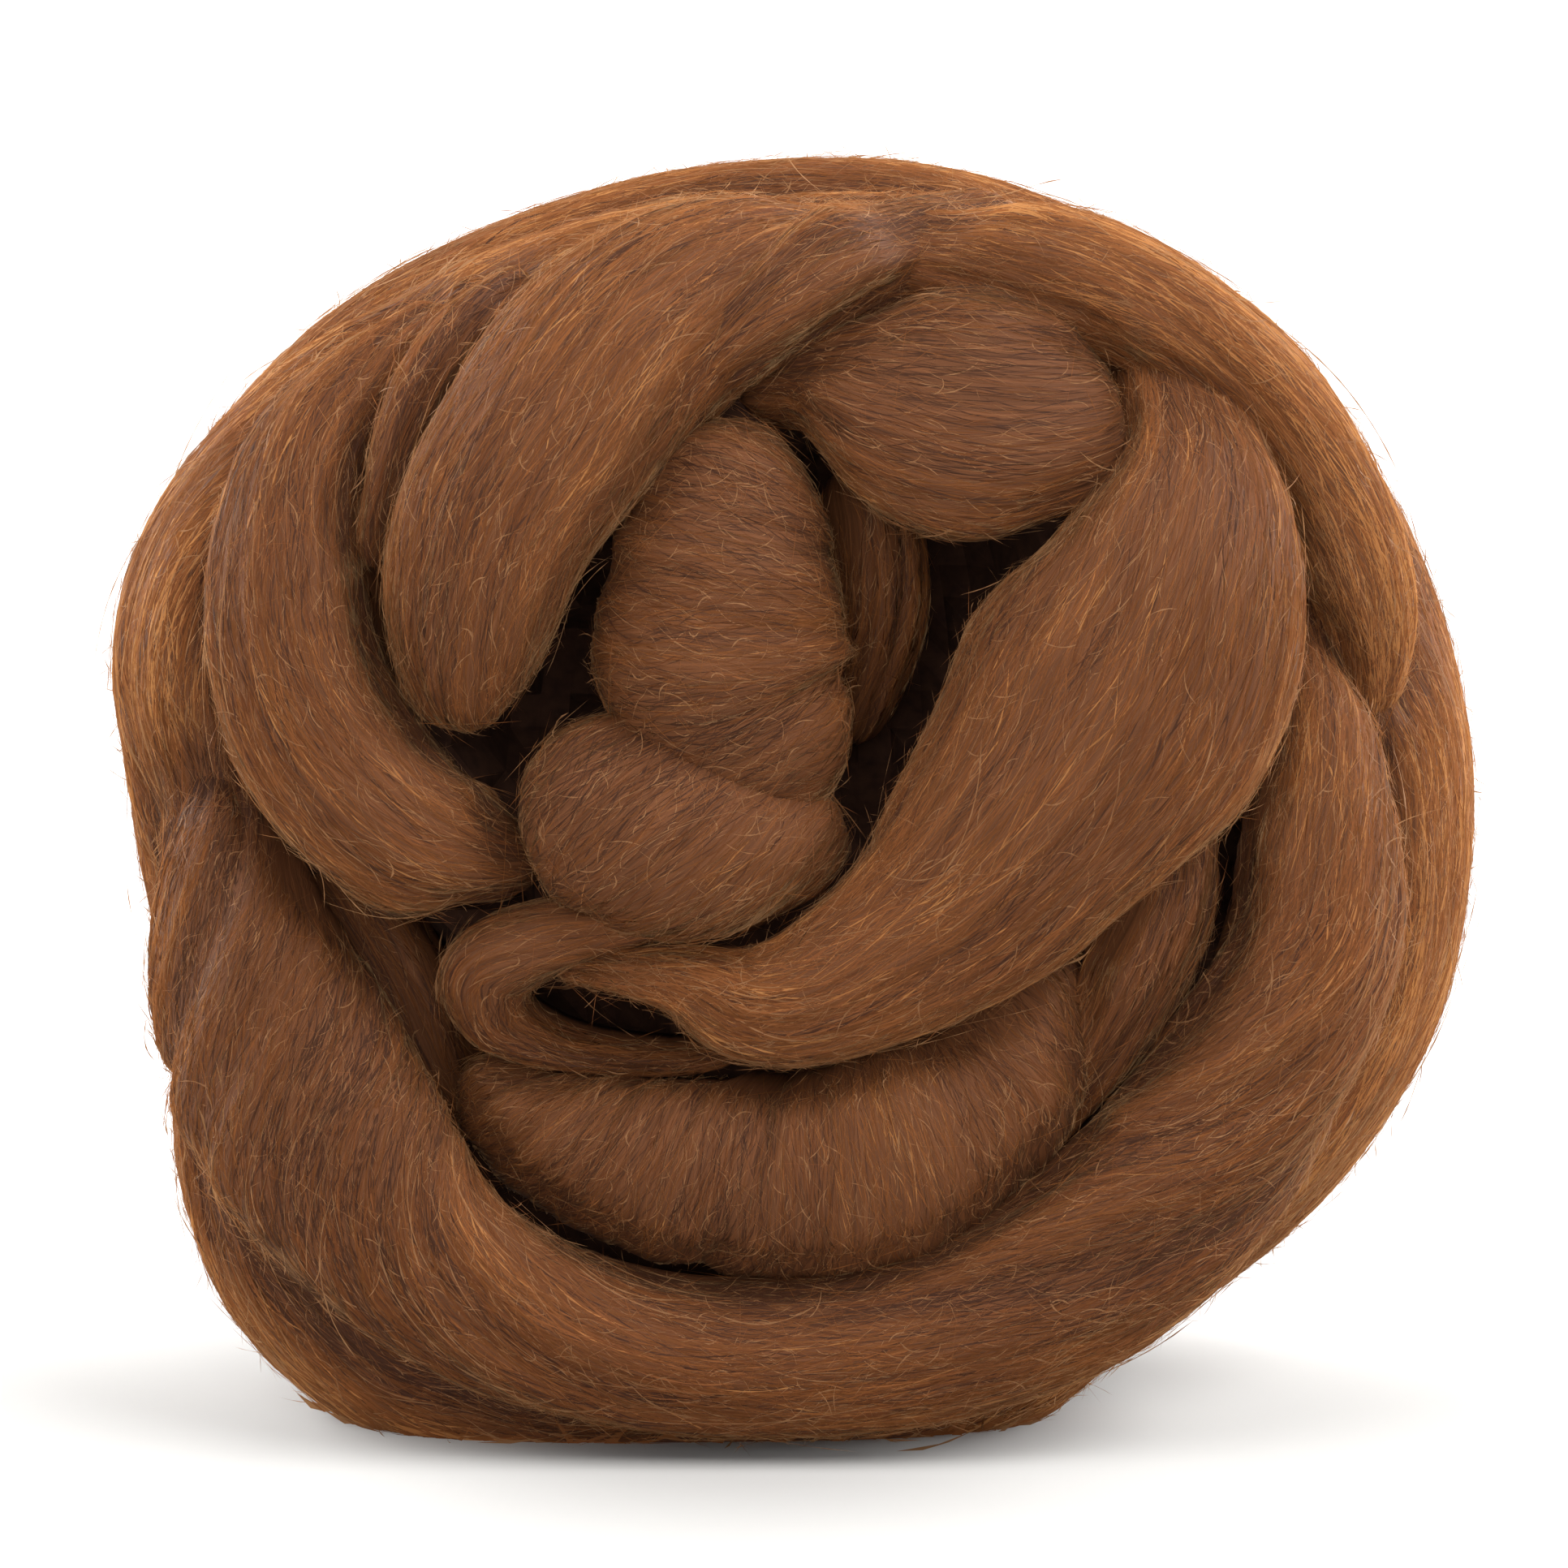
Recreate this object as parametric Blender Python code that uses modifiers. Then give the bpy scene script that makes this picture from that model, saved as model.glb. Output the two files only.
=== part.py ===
"""A length of combed wool roving, wound into a round nest that stands on its edge.

The roving is one soft band of fibre, without twist, about 30 mm wide. It is wound
round and round its own start, so the nest is a set of laps that lie over each other:
a ring round the rim, laps that sweep over the front, a curled start in the middle and
a plain spiral on the back. Each lap is lofted from a short table of sections, and its
neighbours press it in where they come near. A voxel remesh fuses the laps into one
solid, with the creases between them, and a flat cut gives the nest the small flat spot
that it stands on.

Frame: metres, +Z up, the nest's front faces -Y, and the origin is on the surface that
it stands on, under the middle of its box.
"""

import math

import bmesh
import bpy
import numpy as np

MM = 0.001

# Driving sizes, in millimetres.
NEST_WIDTH = 159.0
NEST_HEIGHT = 146.0
NEST_DEPTH = 97.0
MIDDLE_HEIGHT = 73.0  # of the nest's own axis, above the floor
CORE_RADIUS = 60.0  # the packed laps that don't show
CORE_HALF_DEPTH = 24.0
SQUARENESS = 6  # of the core's edge and of the hollows in it
FLOOR_BLOCK = (400.0, 400.0, 100.0)

# How the laps press into each other, in millimetres.
CREASE_DEPTH = 3.0
CREASE_WIDTH = 4.0
SAME_TURN = 180.0  # along the winding: nearer than this isn't a neighbour
FAR = 1000.0
SOFT_SHARE = 0.35  # of its half thickness that a lap gives way at most
FIRMNESS = {"start_upper": 0.5, "start_lower": 0.5, "swoosh": 0.3, "lower_inner": 0.3}

# How finely the forms are cut, in millimetres.
SECTION_STEP = 2.5
SECTION_SIDES = 40
END_GATHERING = 0.25  # how strongly the sections gather at a lap's ends
FEWEST_SECTIONS = 8
CORE_SEGMENTS = 96
VOXEL = 1.3
SMOOTHING = 0.5
KEPT_SHARE = 0.057  # of the remeshed faces

WOOL_BROWN = (0.175, 0.075, 0.032, 1.0)
WOOL_ROUGHNESS = 0.85
WOOL_SHEEN = 0.4

# One row is one section across a lap. All columns are in millimetres:
# across (to the right of the nest's axis, seen from the front), up (above the floor),
# front (towards the viewer, from the middle of the nest's depth), wide (along the
# nest's surface) and thick (out of it).
FRONT_LAPS = {
    # From the top right down over the front to the lower left, on top of the others.
    "swoosh": (
        (37, 132, 6, 8, 9),
        (42, 123, 18, 15, 14),
        (45, 112, 28, 22, 19),
        (42.5, 101, 35, 31, 22),
        (36.5, 88, 37, 37, 23),
        (27, 75, 38, 31, 22),
        (16, 63, 37, 25, 20),
        (-5, 54, 36, 15, 16),
        (-12, 56.5, 35, 9, 12),
        (-20, 57, 33.5, 5, 8),
        (-27, 57, 32, 2.5, 4),
    ),
    # The swoosh's own end, folded back on itself round a small open slot.
    "fold_loop": (
        (-2, 62.5, 28, 7, 9),
        (-10, 62.5, 30.5, 8, 10),
        (-20, 61.5, 32.5, 9, 12),
        (-28, 60, 33.5, 11, 13),
        (-34, 57, 32, 12, 13),
        (-33.5, 51.5, 29.5, 9, 12),
        (-28, 47.5, 28, 5.5, 10),
        (-20, 46, 28.5, 4, 8),
        (-12, 46, 29.5, 3.5, 7),
        (-6, 47, 30, 3, 5),
    ),
    # From the left edge under the nest and up the right side.
    "lower_sweep": (
        (-70, 84, 6, 8, 8),
        (-68, 74, 12, 18, 14),
        (-65, 62, 18, 28, 20),
        (-60, 48, 22, 35, 24),
        (-54, 34, 25, 40, 26),
        (-45, 23, 28, 36, 25),
        (-33, 16.5, 30, 30, 23),
        (-17, 12.5, 31, 25, 22),
        (-1, 12, 31, 25, 22),
        (15, 14.5, 31, 26, 22),
        (30, 21.5, 30, 28, 24),
        (43.5, 33, 28, 29.5, 24),
        (53, 46, 27, 27.5, 22),
        (58.5, 59, 25, 25, 21),
        (59.5, 74, 23, 22, 18),
        (59, 87, 18, 16, 14),
        (57, 98, 13, 9, 10),
    ),
    # Under the lower sweep, out to the left and along the surface.
    "lower_strip": (
        (-68, 44, 4, 14, 11),
        (-65, 31, 9, 26, 17),
        (-57.5, 18.5, 13, 33, 20),
        (-46, 9, 16, 33, 20),
        (-28, 5, 19, 29, 21),
        (-8, 5, 20, 28, 21),
        (12, 6, 18, 28, 21),
        (28, 12, 14, 26, 20),
        (41, 21, 10, 22, 16),
        (52, 33, 4, 12, 10),
    ),
    # The big bright crescent at the left.
    "left_crescent": (
        (-40, 129, 6, 9, 9),
        (-48, 122, 15, 15, 13),
        (-54, 113, 21, 19, 17),
        (-56, 102, 25, 22, 20),
        (-55, 91, 28, 24, 22),
        (-50, 80, 30, 25, 22),
        (-42, 72, 31, 22, 20),
        (-35, 69, 29, 17, 16),
        (-29, 68, 25, 10, 12),
    ),
    # A narrow ridge between the crescent and the lap inside it.
    "fold_ridge": (
        (-30, 133, 10, 7, 8),
        (-37, 127, 19, 9, 11),
        (-42, 119, 25, 9, 13),
        (-45, 110, 28, 8, 13),
        (-47, 101, 28, 7, 11),
    ),
    # From the top down to the left of the middle.
    "upper_left": (
        (8, 136, 8, 14, 12),
        (-6, 134, 18, 24, 18),
        (-18, 127, 26, 27, 22),
        (-27, 117, 31, 27, 23),
        (-33.5, 107, 33, 24, 24),
        (-36.5, 97, 33, 20, 22),
        (-37, 90, 31, 15, 18),
        (-36, 84.5, 28, 9, 12),
    ),
    "upper_middle": (
        (27, 139, 5, 13, 12),
        (12, 137, 17, 18, 17),
        (-1, 131.5, 26, 17, 18),
        (-9, 125, 29, 12, 16),
        (-13, 117, 27, 8, 12),
    ),
    # Deep between the top laps and the swoosh, spreading to the right.
    "upper_right_fan": (
        (-6, 121, 20, 6, 8),
        (3, 122.5, 24, 15, 13),
        (12, 122, 28, 30, 18),
        (21, 121, 29, 35, 20),
        (28, 120.5, 27, 31, 19),
        (35, 120, 20, 20, 15),
    ),
    # Over the top right shoulder, just in front of the rim.
    "shoulder": (
        (-6, 138, 6, 12, 10),
        (10, 137, 14, 19, 17),
        (25, 134.5, 18.5, 21, 19),
        (40, 129, 21, 18, 19),
        (51.5, 119.5, 21, 17.5, 19),
        (60, 107, 19, 16, 18),
        (64.5, 94, 15, 14, 16),
        (66, 82, 10, 11, 13),
    ),
    # Inside the lower sweep.
    "lower_inner": (
        (-37, 43, 20, 9, 10),
        (-31, 38, 25, 18, 16),
        (-22, 34, 28, 25, 21),
        (-11, 32, 30, 29, 24),
        (2, 32, 31, 30, 25),
        (14, 36, 31, 30, 25),
        (23, 43, 30, 25, 23),
        (27, 51, 28, 19, 19),
        (29, 59, 24, 12, 13),
    ),
    "right_inner": (
        (45, 77, 22, 10, 11),
        (44, 66, 28, 16, 15),
        (40.5, 56, 29, 18, 17),
        (36.5, 48, 28, 17, 16),
        (32, 40, 25, 13, 13),
        (27, 32, 22, 8, 9),
    ),
    # Low in the gap at the left.
    "left_inner": (
        (-62, 74, 9, 7, 9),
        (-53, 63, 12, 10, 12),
        (-46, 52, 14, 11, 13),
        (-41, 41, 14, 10, 13),
        (-35, 30, 12, 8, 11),
    ),
    # The start of the roving, curled up in the middle.
    "start_upper": (
        (-5, 118, 25, 13, 14),
        (-7, 111, 29, 23, 21),
        (-8, 103, 31, 27, 25),
        (-8.5, 95, 32, 29, 26),
        (-7, 87, 32, 29, 26),
        (-2, 80, 31, 21, 22),
        (2, 75, 28, 13, 15),
    ),
    "start_lower": (
        (-29, 77, 30, 14, 15),
        (-25, 76, 33, 22, 20),
        (-18, 74, 35, 26, 23),
        (-9, 72, 35, 24, 22),
        (-1, 71, 33, 17, 18),
        (6, 71, 30, 9, 12),
    ),
    # Seen deep in the recess to the right of the start.
    "recess_lap": (
        (7, 113, 15, 10, 11),
        (9.5, 105, 17, 11, 12),
        (10, 96, 17, 11, 12),
        (8.5, 88, 15, 9, 11),
        (6, 80, 12, 7, 9),
    ),
}

# How far the nest's outline reaches from its axis at each bearing:
# bearing (degrees clockwise from the top, seen from the front) and reach (mm).
REACH = (
    (0, 72.6),
    (20, 74.6),
    (45, 76.6),
    (90, 79.0),
    (110, 79.6),
    (135, 78.2),
    (150, 78.6),
    (180, 75.0),
    (210, 77.0),
    (245, 79.3),
    (270, 79.0),
    (292, 81.0),
    (315, 76.2),
    (340, 71.8),
    (360, 72.6),
)

# The outside of the winding, in one run: twice round the rim, drifting to the back,
# then a spiral over the back into the middle, where the other end tucks in.
# Columns: turns, then inset from the reach, front, wide and thick, in mm.
WINDING_START = 200.0  # bearing
WINDING = (
    (0.00, 24, 12, 12, 12),
    (0.10, 17, 8, 24, 20),
    (0.25, 13.5, 5, 32, 26),
    (0.60, 13, 2, 34, 26),
    (1.00, 14, -6, 34, 26),
    (1.50, 14, -18, 33, 26),
    (2.00, 17, -26, 33, 26),
    (2.50, 26, -32, 31, 25),
    (3.00, 37, -35, 29, 24),
    (3.50, 48, -36, 27, 23),
    (4.00, 60, -37, 26, 22),
    (4.40, 69, -37, 22, 21),
    (4.80, 76, -34, 13, 14),
)
WINDING_SWAY = 1.5  # mm that a turn wanders in and out
SECTIONS_A_TURN = 16

# Hollows in the core's front, under the gaps between the laps.
# Columns, in mm: across, up, reach and depth.
HOLLOWS = (
    (5, 110, 7, 18),
    (16, 102, 10, 22),
    (13, 88, 9, 22),
    (9, 78, 6, 16),
    (-22, 100, 5, 16),
    (-25, 89, 7, 20),
    (-30, 82, 6, 18),
    (-37, 67, 5, 14),
    (-50, 60, 6, 18),
    (-45, 52, 7, 20),
    (-40, 43, 7, 20),
    (-29, 52, 6, 16),
    (-21, 51, 6, 16),
    (50, 66, 6, 14),
)


def clear_scene():
    for item in list(bpy.data.objects):
        bpy.data.objects.remove(item, do_unlink=True)


def winding_rows():
    """The winding's sections as lap rows, with a slow sway so its turns lie unevenly."""
    turns, inset, front, wide, thick = np.array(WINDING, float).T
    bearings, reaches = np.array(REACH, float).T
    at = np.linspace(0, turns[-1], round(turns[-1] * SECTIONS_A_TURN) + 1)
    bearing = WINDING_START + 360 * at
    sway = WINDING_SWAY * np.sin(1.7 * np.radians(bearing))
    reach = np.interp(bearing, bearings, reaches, period=360)
    radius = reach + sway - np.interp(at, turns, inset)
    columns = (
        radius * np.sin(np.radians(bearing)),
        MIDDLE_HEIGHT + radius * np.cos(np.radians(bearing)),
        np.interp(at, turns, front),
        np.interp(at, turns, wide),
        np.interp(at, turns, thick),
    )
    return np.stack(columns, axis=1)


def smooth_rows(rows):
    """The rows on a smooth curve through them, closer together at both ends."""
    rows = np.array(rows, float)
    gaps = np.linalg.norm(np.diff(rows[:, :3], axis=0), axis=1)
    knots = np.concatenate([[0.0], np.cumsum(gaps)])
    slopes = np.diff(rows, axis=0) / gaps[:, None]
    total = (gaps[:-1] + gaps[1:])[:, None]
    inner = (slopes[:-1] * gaps[1:, None] + slopes[1:] * gaps[:-1, None]) / total
    tangents = np.vstack([slopes[:1], inner, slopes[-1:]])
    even = np.linspace(0, 1, max(FEWEST_SECTIONS, round(knots[-1] / SECTION_STEP)) + 1)
    gathered = 0.5 - 0.5 * np.cos(math.pi * even)
    at = knots[-1] * (END_GATHERING * gathered + (1 - END_GATHERING) * even)
    left = np.clip(np.searchsorted(knots, at, side="right") - 1, 0, len(gaps) - 1)
    gap = gaps[left][:, None]
    t = (at - knots[left])[:, None] / gap
    return (
        (2 * t**3 - 3 * t**2 + 1) * rows[left]
        + (t**3 - 2 * t**2 + t) * gap * tangents[left]
        + (3 * t**2 - 2 * t**3) * rows[left + 1]
        + (t**3 - t**2) * gap * tangents[left + 1]
    )


def unit(vectors):
    return vectors / np.linalg.norm(vectors, axis=-1, keepdims=True)


def lap_sections(rows):
    """A lap's sections, in mm: middles, directions, half sizes and how far along."""
    across, up, front, wide, thick = smooth_rows(rows).T
    centre = np.stack([across, -front, up], axis=1)
    onward = unit(np.gradient(centre, axis=0))
    half_nest = np.array([NEST_WIDTH, NEST_DEPTH, NEST_HEIGHT]) / 2
    out = unit((centre - (0, 0, MIDDLE_HEIGHT)) / half_nest**2)
    sideways = unit(np.cross(onward, out))
    out = np.cross(sideways, onward)
    half = np.stack([wide, thick], axis=1) / 2
    walked = np.linalg.norm(np.diff(centre, axis=0), axis=1)
    along = np.concatenate([[0.0], np.cumsum(walked)])
    near_end = np.minimum(along / half[0, 1], (along[-1] - along) / half[-1, 1])
    taper = np.sqrt(np.clip(1 - (1 - np.clip(near_end, 0, 1)) ** 2, 0, 1))
    return {
        "centre": centre,
        "sideways": sideways,
        "out": out,
        "half": half,
        "along": along,
        "taper": taper,
        "inner": near_end >= 1,
    }


def lap_rings(lap, pressed=0.0):
    """Rings of points round a lap, in mm, as an array of sections by sides by 3."""
    angle = np.linspace(0, math.tau, SECTION_SIDES, endpoint=False)
    taper = lap["taper"][:, None]
    wide = taper * (lap["half"][:, :1] - pressed) * np.cos(angle)
    thick = taper * (lap["half"][:, 1:] - pressed) * np.sin(angle)
    return (
        lap["centre"][:, None]
        + wide[..., None] * lap["sideways"][:, None]
        + thick[..., None] * lap["out"][:, None]
    )


def gap_to(lap, points, along=None):
    """From points to a lap's skin, in mm, and less than 0 inside the lap."""
    inner = lap["inner"]
    centre, sideways, out = (lap[key][inner] for key in ("centre", "sideways", "out"))
    square = (
        (points**2).sum(axis=1)[:, None] - 2 * points @ centre.T + (centre**2).sum(axis=1)
    )
    if along is not None:
        square[abs(along[:, None] - lap["along"][inner]) < SAME_TURN] = FAR**2
    nearest = square.argmin(axis=1)
    offset = points - centre[nearest]
    across = (offset * sideways[nearest]).sum(axis=1)
    outward = (offset * out[nearest]).sum(axis=1)
    length = np.linalg.norm(offset, axis=1)
    onward = np.sqrt(np.maximum(length**2 - across**2 - outward**2, 0.0))
    wide, thick = lap["half"][inner][nearest].T
    ratio = np.sqrt((across / wide) ** 2 + (outward / thick) ** 2 + (onward / thick) ** 2)
    return (1 - 1 / np.maximum(ratio, 0.05)) * length


def pressed_in(name, laps):
    """How far its neighbours press a lap's skin in, in mm, for each section and side."""
    lap = laps[name]
    rings = lap_rings(lap)
    points = rings.reshape(-1, 3)
    gap = np.full(len(points), FAR)
    for other_name, other in laps.items():
        if other_name != name:
            gap = np.minimum(gap, gap_to(other, points))
        elif name == "winding":
            along = np.repeat(lap["along"], SECTION_SIDES)
            gap = np.minimum(gap, gap_to(other, points, along))
    near = np.exp(-((np.maximum(gap, 0) / CREASE_WIDTH) ** 2)).reshape(rings.shape[:2])
    depth = np.minimum(CREASE_DEPTH, SOFT_SHARE * lap["half"].min(axis=1))[:, None]
    return near * depth * (1 - FIRMNESS.get(name, 0.0))


def add_loft(mesh, rings):
    """Adds one closed lap to the bmesh: a skin over its rings, with a point at each end."""
    loops = [[mesh.verts.new(point * MM) for point in ring] for ring in rings[1:-1]]
    tips = [mesh.verts.new(ring.mean(axis=0) * MM) for ring in (rings[0], rings[-1])]
    for low, high in zip(loops, loops[1:]):
        for i in range(len(low)):
            j = (i + 1) % len(low)
            mesh.faces.new((low[i], low[j], high[j], high[i]))
    for i in range(len(loops[0])):
        j = (i + 1) % len(loops[0])
        mesh.faces.new((tips[0], loops[0][j], loops[0][i]))
        mesh.faces.new((tips[1], loops[-1][i], loops[-1][j]))


def hollow(across, up):
    """How deep the core's front is hollowed at a spot, in mm."""
    return max(
        deep / (1 + (math.hypot(across - x, up - z) / reach) ** SQUARENESS)
        for x, z, reach, deep in HOLLOWS
    )


def add_core(mesh):
    """Adds the packed inside: a flattened ball that the laps cover, with its hollows."""
    made = bmesh.ops.create_uvsphere(
        mesh, u_segments=CORE_SEGMENTS, v_segments=CORE_SEGMENTS // 2, radius=1.0
    )
    for vert in made["verts"]:
        x, y, z = vert.co
        spread = min(math.hypot(x, z), 1.0)
        deep = (1 - spread**SQUARENESS) ** (1 / SQUARENESS) * CORE_HALF_DEPTH
        across, up = x * CORE_RADIUS, MIDDLE_HEIGHT + z * CORE_RADIUS
        if y < 0:
            deep -= hollow(across, up)
        vert.co = (across * MM, math.copysign(1, y) * deep * MM, up * MM)


def wool_material():
    material = bpy.data.materials.new("brown_wool")
    material.use_nodes = True
    shader = material.node_tree.nodes["Principled BSDF"]
    shader.inputs["Base Color"].default_value = WOOL_BROWN
    shader.inputs["Roughness"].default_value = WOOL_ROUGHNESS
    shader.inputs["Metallic"].default_value = 0.0
    shader.inputs["Sheen Weight"].default_value = WOOL_SHEEN
    return material


def floor_cutter(collection):
    """A block under the floor, which cuts the flat spot that the nest stands on."""
    mesh = bpy.data.meshes.new("floor_cutter")
    shape = bmesh.new()
    bmesh.ops.create_cube(shape, size=MM)
    bmesh.ops.scale(shape, vec=FLOOR_BLOCK, verts=shape.verts)
    bmesh.ops.translate(shape, vec=(0, 0, -FLOOR_BLOCK[2] / 2 * MM), verts=shape.verts)
    shape.to_mesh(mesh)
    shape.free()
    cutter = bpy.data.objects.new("floor_cutter", mesh)
    cutter.hide_render = True
    cutter.display_type = "WIRE"
    collection.objects.link(cutter)
    return cutter


def biggest_shell(shape):
    """Deletes all of the bmesh but its biggest shell: the rest is trapped specks of air."""
    left, shells = set(shape.verts), []
    while left:
        shell, edge = set(), [left.pop()]
        while edge:
            vert = edge.pop()
            shell.add(vert)
            for line in vert.link_edges:
                other = line.other_vert(vert)
                if other in left:
                    left.remove(other)
                    edge.append(other)
        shells.append(shell)
    biggest = max(shells, key=len)
    specks = [vert for vert in shape.verts if vert not in biggest]
    bmesh.ops.delete(shape, geom=specks, context="VERTS")


def fused_mesh(nest):
    """The object's laps fused by a voxel remesh, as a new mesh with one shell."""
    fuse = nest.modifiers.new("fuse_laps", "REMESH")
    fuse.mode = "VOXEL"
    fuse.voxel_size = VOXEL * MM
    graph = bpy.context.evaluated_depsgraph_get()
    fused = bpy.data.meshes.new_from_object(nest.evaluated_get(graph))
    nest.modifiers.remove(fuse)
    shape = bmesh.new()
    shape.from_mesh(fused)
    biggest_shell(shape)
    shape.to_mesh(fused)
    shape.free()
    return fused


def wound_nest(collection):
    """All the laps in one mesh, fused, with modifiers that smooth it and thin it out."""
    rows = {**FRONT_LAPS, "winding": winding_rows()}
    laps = {name: lap_sections(lap_rows) for name, lap_rows in rows.items()}
    shape = bmesh.new()
    for name, lap in laps.items():
        add_loft(shape, lap_rings(lap, pressed_in(name, laps)))
    add_core(shape)
    bmesh.ops.recalc_face_normals(shape, faces=shape.faces)
    mesh = bpy.data.meshes.new("laps")
    shape.to_mesh(mesh)
    shape.free()
    nest = bpy.data.objects.new("roving", mesh)
    collection.objects.link(nest)
    nest.data = fused_mesh(nest)
    nest.data.materials.append(wool_material())
    soften = nest.modifiers.new("soften", "SMOOTH")
    soften.factor = SMOOTHING
    thin = nest.modifiers.new("thin_out", "DECIMATE")
    thin.ratio = KEPT_SHARE
    return nest


def main():
    clear_scene()
    scene = bpy.context.scene
    parts = bpy.data.collections.new("wool_roving")
    cutters = bpy.data.collections.new("cutters")
    scene.collection.children.link(parts)
    scene.collection.children.link(cutters)
    nest = wound_nest(parts)
    cut = nest.modifiers.new("flat_spot", "BOOLEAN")
    cut.operation = "DIFFERENCE"
    cut.object = floor_cutter(cutters)


main()
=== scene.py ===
# %% [markdown]
# # A nest of combed wool roving
#
# The object is one long band of combed brown wool, without twist, about 30 mm wide. It is
# wound up by hand into a round nest and stands on its edge. A band like this has no weave
# and no thread: all that the eye sees is a great many fine hairs lying side by side. So
# this lesson works in two layers. First it lofts each lap of the band as a soft, ridged
# tube, and then it combs thousands of fine fibres over the laps, along the way that the
# wool runs on the real nest.
#
# The frame is the plain solid of the nest, packed from the part's source. It gives the
# place and the size, so that nothing here has to be fitted afterwards.

import math

import bmesh
import bpy
import numpy as np
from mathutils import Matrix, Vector
from mathutils.bvhtree import BVHTree


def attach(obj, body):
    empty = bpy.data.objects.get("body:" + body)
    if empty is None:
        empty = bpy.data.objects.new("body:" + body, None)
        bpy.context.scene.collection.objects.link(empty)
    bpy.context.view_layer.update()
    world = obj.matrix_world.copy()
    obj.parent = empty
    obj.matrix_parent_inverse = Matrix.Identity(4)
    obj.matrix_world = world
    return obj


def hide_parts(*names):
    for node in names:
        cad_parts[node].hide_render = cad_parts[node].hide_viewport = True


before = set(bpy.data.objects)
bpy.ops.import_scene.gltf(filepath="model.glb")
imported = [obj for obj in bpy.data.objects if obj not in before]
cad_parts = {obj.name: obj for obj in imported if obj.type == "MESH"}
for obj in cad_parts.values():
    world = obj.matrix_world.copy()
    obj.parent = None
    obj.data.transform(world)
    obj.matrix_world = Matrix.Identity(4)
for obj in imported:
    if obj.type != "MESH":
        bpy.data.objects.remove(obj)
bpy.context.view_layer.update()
MM = 0.001
MIDDLE_HEIGHT = 73.0  # of the nest's axis above the floor, in mm
NEST_SIZE = (159.0, 97.0, 146.0)  # across, deep and tall, in mm

# %% [markdown]
# ## The way the band is wound
#
# Each lap is a row of sections, like ribs in a boat. A row says where the middle of the
# section is, how wide and how thick the band is there, and which way its hairs run. The
# comb angle is 0 where the hairs run along the lap and 90 where they run round it, which
# happens at the start of the roving, where the band is curled over on itself. Short
# tables like these are easy to read against a photograph and easy to change.
#
# All columns are in millimetres but the last, which is in degrees:
# across (to the right, seen from the front), up (above the floor), front (towards the
# viewer, from the middle of the nest's depth), wide, thick, comb.

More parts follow.
